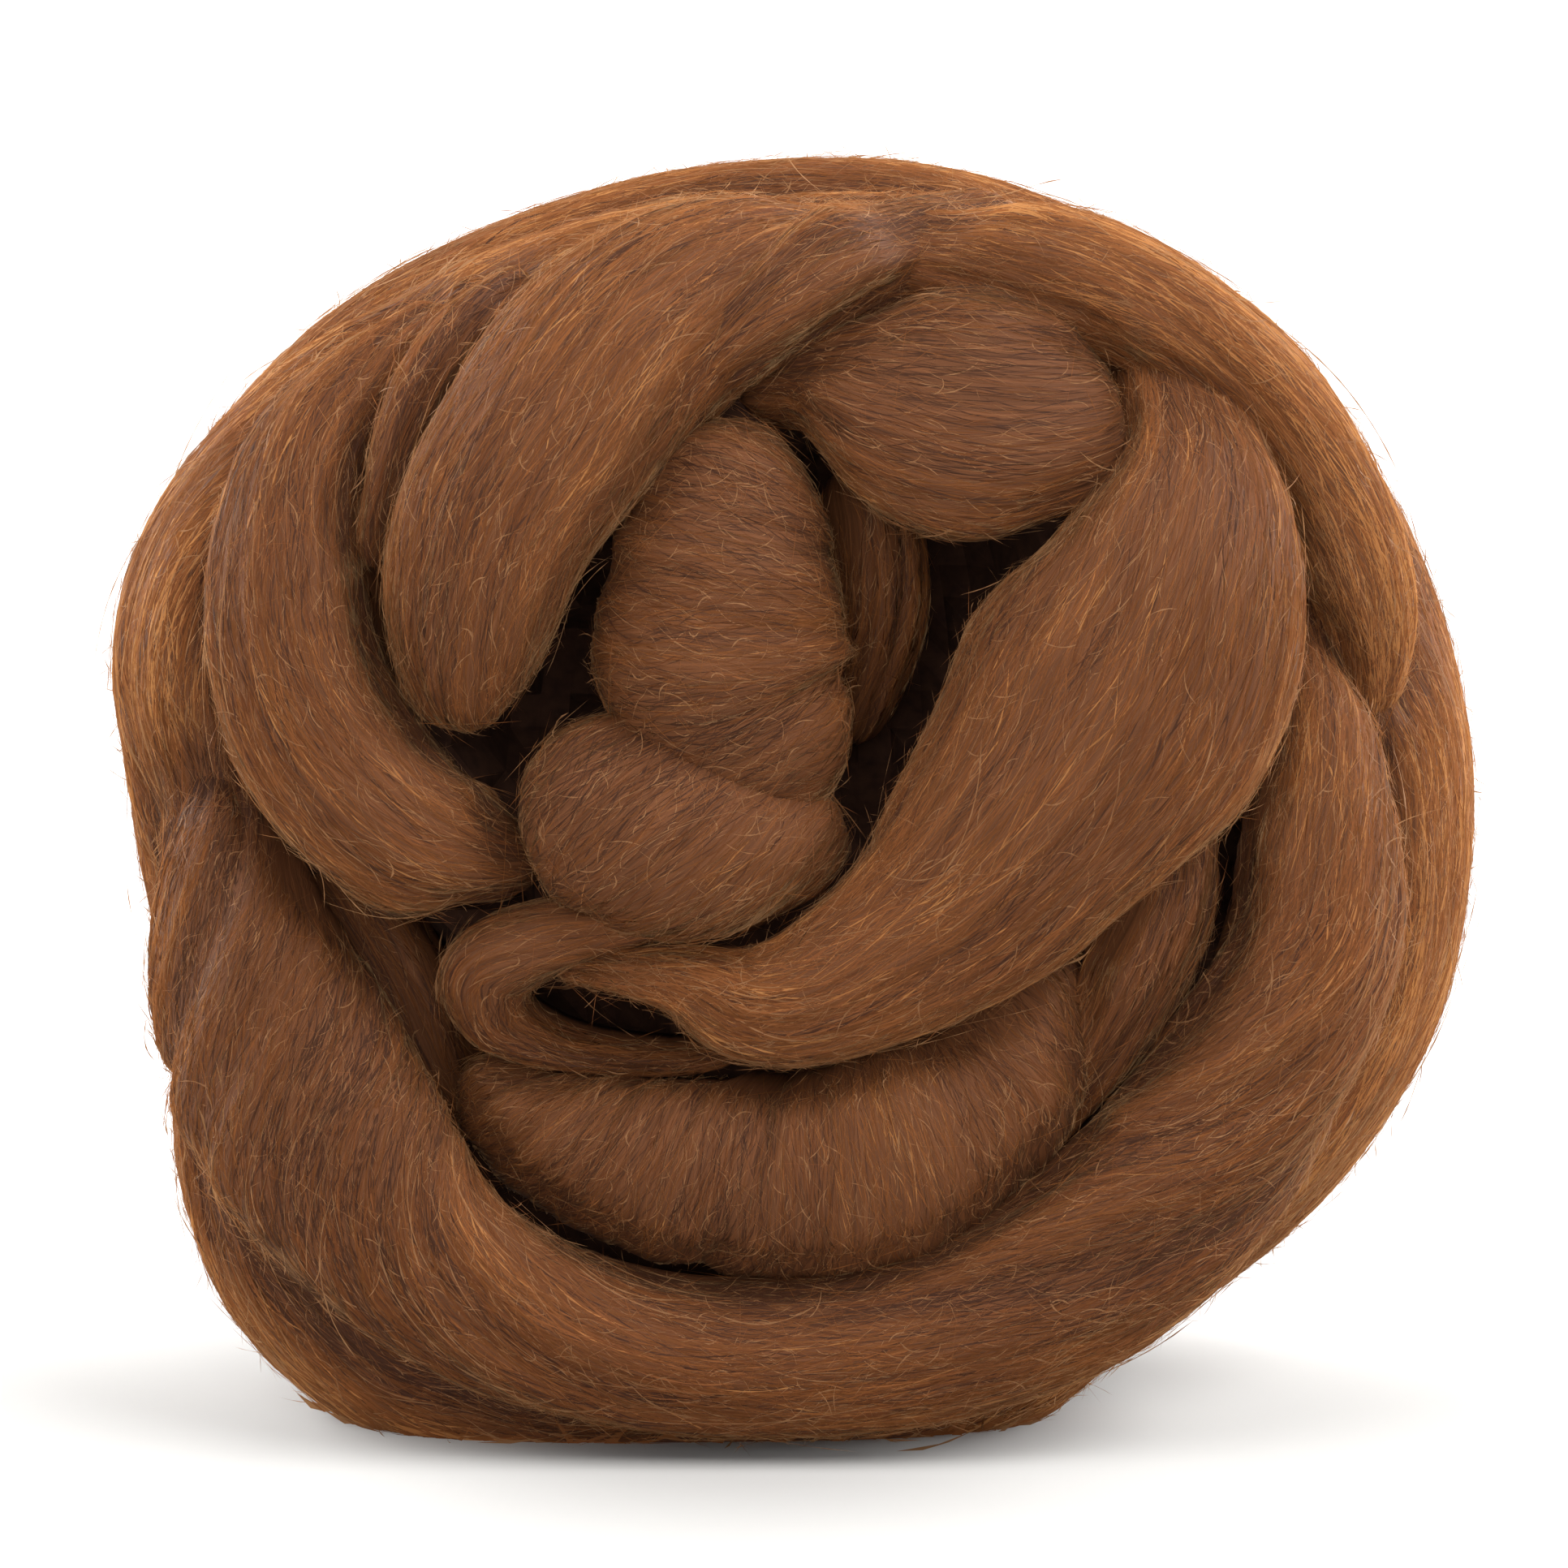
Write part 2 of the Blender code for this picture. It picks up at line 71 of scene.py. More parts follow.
# %% The laps that show from the front
FRONT_LAPS = {
    # From the top right down over the front to the lower left, on top of the others.
    "swoosh": (
        (37, 132, 6, 8, 9, 0),
        (42, 123, 18, 15, 14, 0),
        (45, 112, 28, 22, 19, 3),
        (42.5, 101, 35, 31, 22, 5),
        (36.5, 88, 37, 37, 23, 4),
        (27, 75, 38, 31, 22, 0),
        (16, 63, 37, 25, 20, -3),
        (-5, 54, 36, 15, 16, -2),
        (-12, 56.5, 35, 9, 12, 0),
        (-20, 57, 33.5, 5, 8, 0),
        (-27, 57, 32, 2.5, 4, 0),
    ),
    # The swoosh's own end, folded back on itself round a small open slot.
    "fold_loop": (
        (-2, 62.5, 28, 7, 9, 0),
        (-10, 62.5, 30.5, 8, 10, 0),
        (-20, 61.5, 32.5, 9, 12, 0),
        (-28, 60, 33.5, 11, 13, 0),
        (-34, 57, 32, 12, 13, 0),
        (-33.5, 51.5, 29.5, 9, 12, 0),
        (-28, 47.5, 28, 5.5, 10, 0),
        (-20, 46, 28.5, 4, 8, 0),
        (-12, 46, 29.5, 3.5, 7, 0),
        (-6, 47, 30, 3, 5, 0),
    ),
    # From the left edge under the nest and up the right side.
    "lower_sweep": (
        (-70, 84, 6, 8, 8, -20),
        (-68, 74, 12, 18, 14, -30),
        (-65, 62, 18, 28, 20, -42),
        (-60, 48, 22, 35, 24, -48),
        (-54, 34, 25, 40, 26, -46),
        (-45, 23, 28, 36, 25, -36),
        (-33, 16.5, 30, 30, 23, -22),
        (-17, 12.5, 31, 25, 22, -8),
        (-1, 12, 31, 25, 22, -2),
        (15, 14.5, 31, 26, 22, -8),
        (30, 21.5, 30, 28, 24, -20),
        (43.5, 33, 28, 29.5, 24, -32),
        (53, 46, 27, 27.5, 22, -30),
        (58.5, 59, 25, 25, 21, -18),
        (59.5, 74, 23, 22, 18, -8),
        (59, 87, 18, 16, 14, 0),
        (57, 98, 13, 9, 10, 0),
    ),
    # Under the lower sweep, out to the left and along the surface.
    "lower_strip": (
        (-68, 44, 4, 14, 11, -10),
        (-65, 31, 9, 26, 17, -16),
        (-57.5, 18.5, 13, 33, 20, -16),
        (-46, 9, 16, 33, 20, -8),
        (-28, 5, 19, 29, 21, -2),
        (-8, 5, 20, 28, 21, 0),
        (12, 6, 18, 28, 21, 0),
        (28, 12, 14, 26, 20, 0),
        (41, 21, 10, 22, 16, 0),
        (52, 33, 4, 12, 10, 0),
    ),
    # The big bright crescent at the left.
    "left_crescent": (
        (-40, 129, 6, 9, 9, 0),
        (-48, 122, 15, 15, 13, 0),
        (-54, 113, 21, 19, 17, 0),
        (-56, 102, 25, 22, 20, 0),
        (-55, 91, 28, 24, 22, 0),
        (-50, 80, 30, 25, 22, 0),
        (-42, 72, 31, 22, 20, 0),
        (-35, 69, 29, 17, 16, 0),
        (-29, 68, 25, 10, 12, 0),
    ),
    # A narrow ridge between the crescent and the lap inside it.
    "fold_ridge": (
        (-30, 133, 10, 7, 8, 0),
        (-37, 127, 19, 9, 11, 0),
        (-42, 119, 25, 9, 13, 0),
        (-45, 110, 28, 8, 13, 0),
        (-47, 101, 28, 7, 11, 0),
    ),
    # From the top down to the left of the middle.
    "upper_left": (
        (8, 136, 8, 14, 12, 0),
        (-6, 134, 18, 24, 18, 0),
        (-18, 127, 26, 27, 22, 2),
        (-27, 117, 31, 27, 23, 4),
        (-33.5, 107, 33, 24, 24, 4),
        (-36.5, 97, 33, 20, 22, 2),
        (-37, 90, 31, 15, 18, 0),
        (-36, 84.5, 28, 9, 12, 0),
    ),
    "upper_middle": (
        (27, 139, 5, 13, 12, 0),
        (12, 137, 17, 18, 17, 0),
        (-1, 131.5, 26, 17, 18, 0),
        (-9, 125, 29, 12, 16, 0),
        (-13, 117, 27, 8, 12, 0),
    ),
    # Deep between the top laps and the swoosh, spreading to the right.
    "upper_right_fan": (
        (-6, 121, 20, 6, 8, 0),
        (3, 122.5, 24, 15, 13, 0),
        (12, 122, 28, 30, 18, 0),
        (21, 121, 29, 35, 20, 0),
        (28, 120.5, 27, 31, 19, 0),
        (35, 120, 20, 20, 15, 0),
    ),
    # Over the top right shoulder, just in front of the rim.
    "shoulder": (
        (-6, 138, 6, 12, 10, 0),
        (10, 137, 14, 19, 17, 0),
        (25, 134.5, 18.5, 21, 19, 0),
        (40, 129, 21, 18, 19, 0),
        (51.5, 119.5, 21, 17.5, 19, 0),
        (60, 107, 19, 16, 18, 0),
        (64.5, 94, 15, 14, 16, 0),
        (66, 82, 10, 11, 13, 0),
    ),
    # Inside the lower sweep, with its hairs standing across it.
    "lower_inner": (
        (-37, 43, 20, 9, 10, 60),
        (-31, 38, 25, 18, 16, 62),
        (-22, 34, 28, 25, 21, 68),
        (-11, 32, 30, 29, 24, 78),
        (2, 32, 31, 30, 25, 84),
        (14, 36, 31, 30, 25, 80),
        (23, 43, 30, 25, 23, 74),
        (27, 51, 28, 19, 19, 70),
        (29, 59, 24, 12, 13, 70),
    ),
    "right_inner": (
        (45, 77, 22, 10, 11, 0),
        (44, 66, 28, 16, 15, 0),
        (40.5, 56, 29, 18, 17, 0),
        (36.5, 48, 28, 17, 16, 0),
        (32, 40, 25, 13, 13, 0),
        (27, 32, 22, 8, 9, 0),
    ),
    # Low in the gap at the left.
    "left_inner": (
        (-62, 74, 9, 7, 9, 0),
        (-53, 63, 12, 10, 12, 0),
        (-46, 52, 14, 11, 13, 0),
        (-41, 41, 14, 10, 13, 0),
        (-35, 30, 12, 8, 11, 0),
    ),
    # The start of the roving, curled up in the middle.
    "start_upper": (
        (-5, 118, 25, 13, 14, 84),
        (-7, 111, 29, 23, 21, 84),
        (-8, 103, 31, 27, 25, 86),
        (-8.5, 95, 32, 29, 26, 88),
        (-7, 87, 32, 29, 26, 88),
        (-2, 80, 31, 21, 22, 80),
        (2, 75, 28, 13, 15, 76),
    ),
    "start_lower": (
        (-29, 77, 30, 14, 15, 78),
        (-25, 76, 33, 22, 20, 74),
        (-18, 74, 35, 26, 23, 66),
        (-9, 72, 35, 24, 22, 56),
        (-1, 71, 33, 17, 18, 46),
        (6, 71, 30, 9, 12, 40),
    ),
    # Seen deep in the recess to the right of the start.
    "recess_lap": (
        (7, 113, 15, 10, 11, 0),
        (9.5, 105, 17, 11, 12, 0),
        (10, 96, 17, 11, 12, 0),
        (8.5, 88, 15, 9, 11, 0),
        (6, 80, 12, 7, 9, 0),
    ),
}
print(len(FRONT_LAPS), "laps show from the front")

# %% [markdown]
# The outside of the nest is one run of the band: nearly two turns round the rim, drifting
# to the back, then a spiral over the back into the middle, where the end tucks in. Its
# rows are by turns, and the nest's outline says how far out it lies at each bearing.

# %% The winding round the rim and over the back
# bearing, in degrees clockwise from the top, and reach, in mm
REACH = (
    (0, 72.6),
    (20, 74.6),
    (45, 76.6),
    (90, 79.0),
    (110, 79.6),
    (135, 78.2),
    (150, 78.6),
    (180, 75.0),
    (210, 77.0),
    (245, 79.3),
    (270, 79.0),
    (292, 81.0),
    (315, 76.2),
    (340, 71.8),
    (360, 72.6),
)
WINDING_START = 200.0  # bearing
# turns, then in mm: inset from the reach, front, wide and thick
WINDING = (
    (0.00, 24, 12, 12, 12),
    (0.10, 17, 8, 24, 20),
    (0.25, 13.5, 5, 32, 26),
    (0.60, 13, 2, 34, 26),
    (1.00, 14, -6, 34, 26),
    (1.50, 14, -18, 33, 26),
    (2.00, 17, -26, 33, 26),
    (2.50, 26, -32, 31, 25),
    (3.00, 37, -35, 29, 24),
    (3.50, 48, -36, 27, 23),
    (4.00, 60, -37, 26, 22),
    (4.40, 69, -37, 22, 21),
    (4.80, 76, -34, 13, 14),
)
WINDING_SWAY = 1.5  # mm that a turn wanders in and out
SECTIONS_A_TURN = 16


def winding_rows():
    """The winding's sections as lap rows."""
    turns, inset, front, wide, thick = np.array(WINDING, float).T
    bearings, reaches = np.array(REACH, float).T
    at = np.linspace(0, turns[-1], round(turns[-1] * SECTIONS_A_TURN) + 1)
    bearing = WINDING_START + 360 * at
    sway = WINDING_SWAY * np.sin(1.7 * np.radians(bearing))
    reach = np.interp(bearing, bearings, reaches, period=360)
    radius = reach + sway - np.interp(at, turns, inset)
    columns = (
        radius * np.sin(np.radians(bearing)),
        MIDDLE_HEIGHT + radius * np.cos(np.radians(bearing)),
        np.interp(at, turns, front),
        np.interp(at, turns, wide),
        np.interp(at, turns, thick),
        np.zeros(len(at)),
    )
    return np.stack(columns, axis=1)


LAP_ROWS = {**FRONT_LAPS, "winding": winding_rows()}
print("the winding has", len(LAP_ROWS["winding"]), "sections")

# %% [markdown]
# ## From rows to a smooth lap
#
# A curve through the rows gives a lap its line. It could be a Bezier curve with a bevel,
# but a bevel has one shape all along, and this band swells and narrows. So the script
# keeps the line as arrays: at each step it has a middle, the direction along the band's
# width, the direction out of the nest, and the band's half sizes. Every later step reads
# the surface from these arrays, the fibres as well as the mesh.

# %% A lap's line
LINE_STEP = 1.0  # mm
SECTION_WIDTHS = (3, 3, 3, 2, 1)  # columns of centre, sideways, out, half sizes and comb


def smooth_rows(rows, step):
    """The rows on a smooth curve through them, about a step apart."""
    rows = np.array(rows, float)
    gaps = np.linalg.norm(np.diff(rows[:, :3], axis=0), axis=1)
    knots = np.concatenate([[0.0], np.cumsum(gaps)])
    slopes = np.diff(rows, axis=0) / gaps[:, None]
    total = (gaps[:-1] + gaps[1:])[:, None]
    inner = (slopes[:-1] * gaps[1:, None] + slopes[1:] * gaps[:-1, None]) / total
    tangents = np.vstack([slopes[:1], inner, slopes[-1:]])
    at = np.linspace(0, knots[-1], round(knots[-1] / step) + 1)
    left = np.clip(np.searchsorted(knots, at, side="right") - 1, 0, len(gaps) - 1)
    gap = gaps[left][:, None]
    t = (at - knots[left])[:, None] / gap
    return (
        (2 * t**3 - 3 * t**2 + 1) * rows[left]
        + (t**3 - 2 * t**2 + t) * gap * tangents[left]
        + (3 * t**2 - 2 * t**3) * rows[left + 1]
        + (t**3 - t**2) * gap * tangents[left + 1]
    )


def unit(vectors):
    """The vectors, each made 1 long."""
    return vectors / np.maximum(np.linalg.norm(vectors, axis=-1, keepdims=True), 1e-9)


def lap_line(rows):
    """One lap as a table of its sections, in metres, evenly spaced along it."""
    fine = smooth_rows(rows, LINE_STEP)
    centre = np.stack([fine[:, 0], -fine[:, 2], fine[:, 1]], axis=1)
    onward = unit(np.gradient(centre, axis=0))
    half_nest = np.array(NEST_SIZE) / 2
    out = unit((centre - (0, 0, MIDDLE_HEIGHT)) / half_nest**2)
    sideways = unit(np.cross(onward, out))
    out = np.cross(sideways, onward)
    half = fine[:, 3:5] / 2
    comb = np.radians(fine[:, 5:6])
    walked = np.linalg.norm(np.diff(centre, axis=0), axis=1).sum()
    return {
        "sections": np.hstack([centre * MM, sideways, out, half * MM, comb]),
        "length": walked * MM,
        "end_roundness": (half[0, 1] * MM, half[-1, 1] * MM),
    }


LAPS = {name: lap_line(rows) for name, rows in LAP_ROWS.items()}
for name, lap in LAPS.items():
    print(f"{name}: {1000 * lap['length']:.0f} mm long")

# %% [markdown]
# ## Ridges in the band
#
# Combed wool lies in soft strands, some as wide as a finger and some as thin as a thread,
# and they run the way the hairs run. Random hills, stretched along the hairs, make such
# ridges. The script moves the real surface by them and doesn't leave them to bump, so
# they show at the edges too.

# %% Stretched random hills
HILL_COUNT = 512  # a side, before the hills repeat
HILLS = np.random.default_rng(11).uniform(-1, 1, (HILL_COUNT, HILL_COUNT))
SEED_SHIFT = (37.7, 91.3)  # hills from one seed to the next, so that no two look alike


def soft_hills(x, y, seed):
    """Smooth random hills about 1 apart, between -1 and 1."""
    x, y = x + SEED_SHIFT[0] * seed, y + SEED_SHIFT[1] * seed
    left, low = np.floor(x).astype(int), np.floor(y).astype(int)
    s, t = x - left, y - low
    s, t = s * s * (3 - 2 * s), t * t * (3 - 2 * t)
    corner = [
        HILLS[(left + i) % HILL_COUNT, (low + j) % HILL_COUNT]
        for i, j in ((0, 0), (1, 0), (0, 1), (1, 1))
    ]
    lower = corner[0] * (1 - s) + corner[1] * s
    upper = corner[2] * (1 - s) + corner[3] * s
    return lower * (1 - t) + upper * t


print("hills between", round(HILLS.min(), 2), "and", round(HILLS.max(), 2))

# %% [markdown]
# The hills have to lie along the hairs, and the hairs don't always run along the lap. So
# two helpers come first: one reads a lap's sections at any place, and one says how far
# across and along the hairs a place lies. The second also lays out the UV map later.

# %% Ridges along the hairs
# (across, along and height, all in mm)
RIDGES = ((15.0, 90.0, 0.9), (7.0, 60.0, 0.65), (3.2, 40.0, 0.45), (1.4, 26.0, 0.30))
CROSSWISE = math.radians(55)  # from here up, the hairs count as running round the lap


def sections_at(lap, along):
    """The lap's sections at these distances along it, in metres."""
    table = lap["sections"]
    index = np.clip(along / lap["length"], 0, 1) * (len(table) - 1)
    low = np.minimum(index.astype(int), len(table) - 2)
    share = (index - low)[..., None]
    row = (1 - share) * table[low] + share * table[low + 1]
    return np.split(row, np.cumsum(SECTION_WIDTHS)[:-1], axis=-1)


def hair_lines(lap, along, around):
    """(across the hairs, along the hairs), in metres: both stay even down a strand."""
    table = lap["sections"]
    mean_half = table[:, 9:11].mean()
    comb = table[:, 11]
    if abs(comb).mean() > CROSSWISE:
        lean = np.tan(np.pi / 2 - abs(comb.mean()))
        return along - lean * mean_half * around, mean_half * around
    step = lap["length"] / (len(table) - 1)
    drift = np.cumsum(np.tan(comb)) * step / mean_half
    at = np.linspace(0, lap["length"], len(table))
    return (around - np.interp(along, at, drift)) * mean_half, along


def relief(lap, along, around):
    """How far the ridges lift the lap's surface, in metres."""
    across, onward = hair_lines(lap, along, around)
    lift = 0.0
    for seed, (wide, long, height) in enumerate(RIDGES):
        hills = soft_hills(across / (wide * MM), onward / (long * MM), seed + lap["seed"])
        lift = lift + height * MM * hills
    return lift


for number, lap in enumerate(LAPS.values()):
    lap["seed"] = 3 + 7 * number
print(len(RIDGES), "sizes of ridge, up to", sum(ridge[2] for ridge in RIDGES), "mm high in all")

# %% [markdown]
# Everything that is built later asks one function where the surface is: the skins, the
# fibres on them, and the hairs above them by their lift. It rounds off a lap's two ends,
# adds the ridges, and takes away what the neighbours press in, once that is known.

# %% The surface of a lap
MAP_STEP = 2.0 * MM  # along a lap, between the rows of its crease map
MAP_SIDES = 64  # columns of the map, round the lap


def pressed_in(lap, along, around):
    """How far the neighbouring laps press this one in, read from its map, in metres."""
    if "pressed" not in lap:
        return 0.0
    table = lap["pressed"]
    row = np.clip(along / lap["length"], 0, 1) * (len(table) - 1)
    low = np.minimum(row.astype(int), len(table) - 2)
    side = around / (2 * np.pi) * MAP_SIDES
    left = np.floor(side).astype(int)
    s, t = row - low, side - left
    i, j = left % MAP_SIDES, (left + 1) % MAP_SIDES
    lower = table[low, i] * (1 - t) + table[low, j] * t
    upper = table[low + 1, i] * (1 - t) + table[low + 1, j] * t
    return lower * (1 - s) + upper * s


def lap_surface(lap, along, around, lift=0.0):
    """Points on a lap. around is 90 degrees on the side that faces out of the nest."""
    centre, sideways, out, half, _ = sections_at(lap, along)
    first, last = lap["end_roundness"]
    near = np.minimum(along / first, (lap["length"] - along) / last)
    taper = np.sqrt(np.clip(1 - (1 - np.clip(near, 0, 1)) ** 2, 0, 1))
    height = (relief(lap, along, around) - pressed_in(lap, along, around)) * taper + lift
    wide = half[..., 0] * taper + height
    thick = half[..., 1] * taper + height
    return (
        centre
        + (wide * np.cos(around))[..., None] * sideways
        + (thick * np.sin(around))[..., None] * out
    )


top = max(lap_surface(lap, lap["length"] / 2, np.pi / 2)[2] for lap in LAPS.values())
print(f"halfway along it, the highest lap reaches {1000 * top:.0f} mm")

# %% [markdown]
# ## Laps press into each other
#
# Where two laps touch, both give way, and a deep crease runs between them. So each lap
# gets a map of how close the other laps come to its skin. Near a neighbour the skin sinks
# in, and the two rounded flanks meet deep down, as soft wool does. A lap that is rolled up
# tightly gives way less: it is firm.

# %% Press the creases in
CREASE_DEPTH = 3.0  # mm
CREASE_WIDTH = 4.0  # mm
FIRMNESS = {  # 0 gives way fully and 1 not at all
    "start_upper": 0.8,
    "start_lower": 0.7,
    "upper_left": 0.6,
    "upper_right_fan": 0.5,
    "fold_loop": 0.5,
    "swoosh": 0.5,
    "lower_inner": 0.3,
}
SOFT_SHARE = 0.35  # of its half thickness that a lap gives way at most
SAME_TURN = 180 * MM  # along the winding: nearer than this isn't a neighbour


def gap_to(lap, points, along=None):
    """From points to a lap's skin, in metres, and less than 0 inside the lap."""
    table = lap["sections"][::3]
    at = np.linspace(0, lap["length"], len(table))
    first, last = lap["end_roundness"]
    inner = (at >= first) & (at <= lap["length"] - last)
    table, at = table[inner], at[inner]
    centre, sideways, out, half, _ = np.split(table, np.cumsum(SECTION_WIDTHS)[:-1], axis=1)
    square = (
        (points**2).sum(axis=1)[:, None] - 2 * points @ centre.T + (centre**2).sum(axis=1)
    )
    if along is not None:
        square[abs(along[:, None] - at) < SAME_TURN] = 1.0
    nearest = square.argmin(axis=1)
    offset = points - centre[nearest]
    across = (offset * sideways[nearest]).sum(axis=1)
    outward = (offset * out[nearest]).sum(axis=1)
    onward = np.sqrt(
        np.maximum((offset**2).sum(axis=1) - across**2 - outward**2, 0.0)
    )
    wide, thick = half[nearest].T
    ratio = np.sqrt((across / wide) ** 2 + (outward / thick) ** 2 + (onward / thick) ** 2)
    return (1 - 1 / np.maximum(ratio, 0.05)) * np.linalg.norm(offset, axis=1)


maps = {}
for name, lap in LAPS.items():
    along = np.linspace(0, lap["length"], round(lap["length"] / MAP_STEP) + 1)
    around = np.linspace(0, 2 * np.pi, MAP_SIDES, endpoint=False)
    along, around = (grid.ravel() for grid in np.meshgrid(along, around, indexing="ij"))
    points = lap_surface(lap, along, around)
    gap = np.full(len(points), 1.0)
    for other_name, other in LAPS.items():
        if other_name == name == "winding":
            gap = np.minimum(gap, gap_to(other, points, along))
        elif other_name != name:
            gap = np.minimum(gap, gap_to(other, points))
    near = np.exp(-((np.maximum(gap, 0) / (CREASE_WIDTH * MM)) ** 2))
    depth = np.minimum(CREASE_DEPTH * MM, SOFT_SHARE * sections_at(lap, along)[3].min(axis=1))
    depth = depth * (1 - FIRMNESS.get(name, 0.0))
    maps[name] = (near * depth).reshape(-1, MAP_SIDES)
for name, table in maps.items():
    LAPS[name]["pressed"] = table
    print(f"{name}: pressed in by {1000 * table.mean():.1f} mm on average")

# %% [markdown]
# ## What wool gives the eye
#
# This is merino top: fine wool, dyed brown, then combed so that all its hairs lie one
# way. A wool hair is scaly, so it scatters light and has only a soft, wide shine. Its
# roughness is high and its IOR is that of keratin, about 1.55.
#
# Colours are written as sRGB hex values, as in any paint program, and one function turns
# them to the linear values that Blender's shader takes. A second one adds a node with its
# settings and links, so that each material reads as a short list.

# %% Colour and node helpers
def linear(hex_colour):
    """An sRGB hex colour as linear red, green, blue and alpha."""
    values = [int(hex_colour[i : i + 2], 16) / 255 for i in (1, 3, 5)]
    values = [v / 12.92 if v <= 0.04045 else ((v + 0.055) / 1.055) ** 2.4 for v in values]
    return (*values, 1.0)


def add_node(tree, kind, settings=None, links=None, **inputs):
    """Adds a node: its settings by name, its inputs' values, and what feeds them."""
    node = tree.nodes.new(kind)
    for key, value in (settings or {}).items():
        setattr(node, key, value)
    for key, value in inputs.items():
        node.inputs[key.replace("_", " ")].default_value = value
    for key, output in (links or {}).items():
        tree.links.new(output, node.inputs[key])
    return node


print("sRGB #808080 is", round(linear("#808080")[0], 3), "in linear light")

# %% [markdown]
# ## The fibres' materials
#
# Dyed wool isn't one brown, because each hair took up the dye in its own way. Five browns,
# each a little uneven, mix on the nest as the hairs do. Two things make them wool and not
# plastic. A sheen brightens them where they turn away from the eye, as it does on any
# fabric with loose hairs. And a hair is so thin that light goes through it, so half of
# each ribbon's light comes from behind: at the outline of the nest, where the light comes
# from the back, the hairs glow.

# %% The fibres' materials
KERATIN_IOR = 1.55
WOOL_ROUGHNESS = 0.62
SHEEN = 0.35
SHEEN_ROUGHNESS = 0.3
SHEEN_TINT = "#e3b07c"
SURFACE_GLOSS = 0.12  # less than a hair's 0.5, because hairs in a mass shade each other
THROUGH_A_HAIR = 0.5  # share of the light that passes through


def wool_shader(name, roughness=WOOL_ROUGHNESS, sheen=SHEEN):
    """A new wool material. Returns it with its node tree and its Principled shader."""
    material = bpy.data.materials.new(name)
    material.use_nodes = True
    tree = material.node_tree
    shader = tree.nodes["Principled BSDF"]
    shader.inputs["Roughness"].default_value = roughness
    shader.inputs["IOR"].default_value = KERATIN_IOR
    shader.inputs["Specular IOR Level"].default_value = SURFACE_GLOSS
    shader.inputs["Sheen Weight"].default_value = sheen
    shader.inputs["Sheen Roughness"].default_value = SHEEN_ROUGHNESS
    shader.inputs["Sheen Tint"].default_value = linear(SHEEN_TINT)
    return material, tree, shader


def let_light_through(tree, shader, share):
    """Lets this share of the light pass through to the other side of a thin ribbon."""
    colour = shader.inputs["Base Color"].links[0].from_socket
    through = add_node(tree, "ShaderNodeBsdfTranslucent", links={"Color": colour})
    both = {1: shader.outputs["BSDF"], 2: through.outputs["BSDF"]}
    mix = add_node(tree, "ShaderNodeMixShader", links=both, Fac=share)
    tree.links.new(mix.outputs["Shader"], tree.nodes["Material Output"].inputs["Surface"])


def two_tone(tree, shader, low, high, scale, detail=2.0):
    """Colours the shader between two browns by soft noise, as uneven dye does."""
    place = add_node(tree, "ShaderNodeNewGeometry")
    noise = add_node(
        tree,
        "ShaderNodeTexNoise",
        links={"Vector": place.outputs["Position"]},
        Scale=scale,
        Detail=detail,
    )
    ramp = add_node(tree, "ShaderNodeValToRGB", links={"Fac": noise.outputs["Fac"]})
    for element, (position, brown) in zip(ramp.color_ramp.elements, ((0.3, low), (0.7, high))):
        element.position = position
        element.color = linear(brown)
    tree.links.new(ramp.outputs["Color"], shader.inputs["Base Color"])


DYE_PATCH = 14.0  # mm, between lighter and darker patches of dyed wool
FIBRE_COLOURS = {
    "deep_brown": ("#4a2d1f", "#563624"),
    "dark_brown": ("#6a3e20", "#724325"),
    "mid_brown": ("#734625", "#7f4d27"),
    "warm_brown": ("#85512e", "#935c31"),
    "pale_tan": ("#aa7140", "#bd854f"),
}
LOOSE_COLOURS = ("#8d6340", "#a17650")
fibre_materials = {}
for name, (low, high) in FIBRE_COLOURS.items():
    material, tree, shader = wool_shader("merino_fibre_" + name)
    two_tone(tree, shader, low, high, scale=1 / (DYE_PATCH * MM))
    let_light_through(tree, shader, THROUGH_A_HAIR)
    fibre_materials[name] = material
loose_hair_material, tree, shader = wool_shader("merino_loose_hair")
two_tone(tree, shader, *LOOSE_COLOURS, scale=1 / (DYE_PATCH * MM))
let_light_through(tree, shader, THROUGH_A_HAIR)
print(len(fibre_materials), "browns for the combed fibres and one for the loose hairs")

# %% [markdown]
# ## The band's material
#
# The band under the fibres is made of the same hairs, too fine and too many to build one
# by one. So its material draws them: a noise that is stretched along the hairs, through a
# UV map that is laid out in metres along and across them. A hair is 0.02 mm thick and
# can't show at this size, so the noise draws wisps of hair about 0.4 mm across. It has no
# sheen, because the fibres on it bring theirs.

# %% The band's material
WISP = 0.4  # mm
WISP_LENGTH = 12.0  # mm
band_material, tree, shader = wool_shader("combed_merino_top", roughness=0.7, sheen=0.0)
lines = add_node(tree, "ShaderNodeUVMap", settings={"uv_map": "hair_lines"})
stretch = add_node(tree, "ShaderNodeMapping", links={"Vector": lines.outputs["UV"]})
stretch.inputs["Scale"].default_value = (1 / (WISP * MM), 1 / (WISP_LENGTH * MM), 1)
wisps = add_node(
    tree,
    "ShaderNodeTexNoise",
    links={"Vector": stretch.outputs["Vector"]},
    Scale=1.0,
    Detail=3.0,
)
ramp = add_node(tree, "ShaderNodeValToRGB", links={"Fac": wisps.outputs["Fac"]})
WISP_COLOURS = ((0.3, "#492a16"), (0.72, "#663d22"))
for element, (position, colour) in zip(ramp.color_ramp.elements, WISP_COLOURS):
    element.position = position
    element.color = linear(colour)
tree.links.new(ramp.outputs["Color"], shader.inputs["Base Color"])
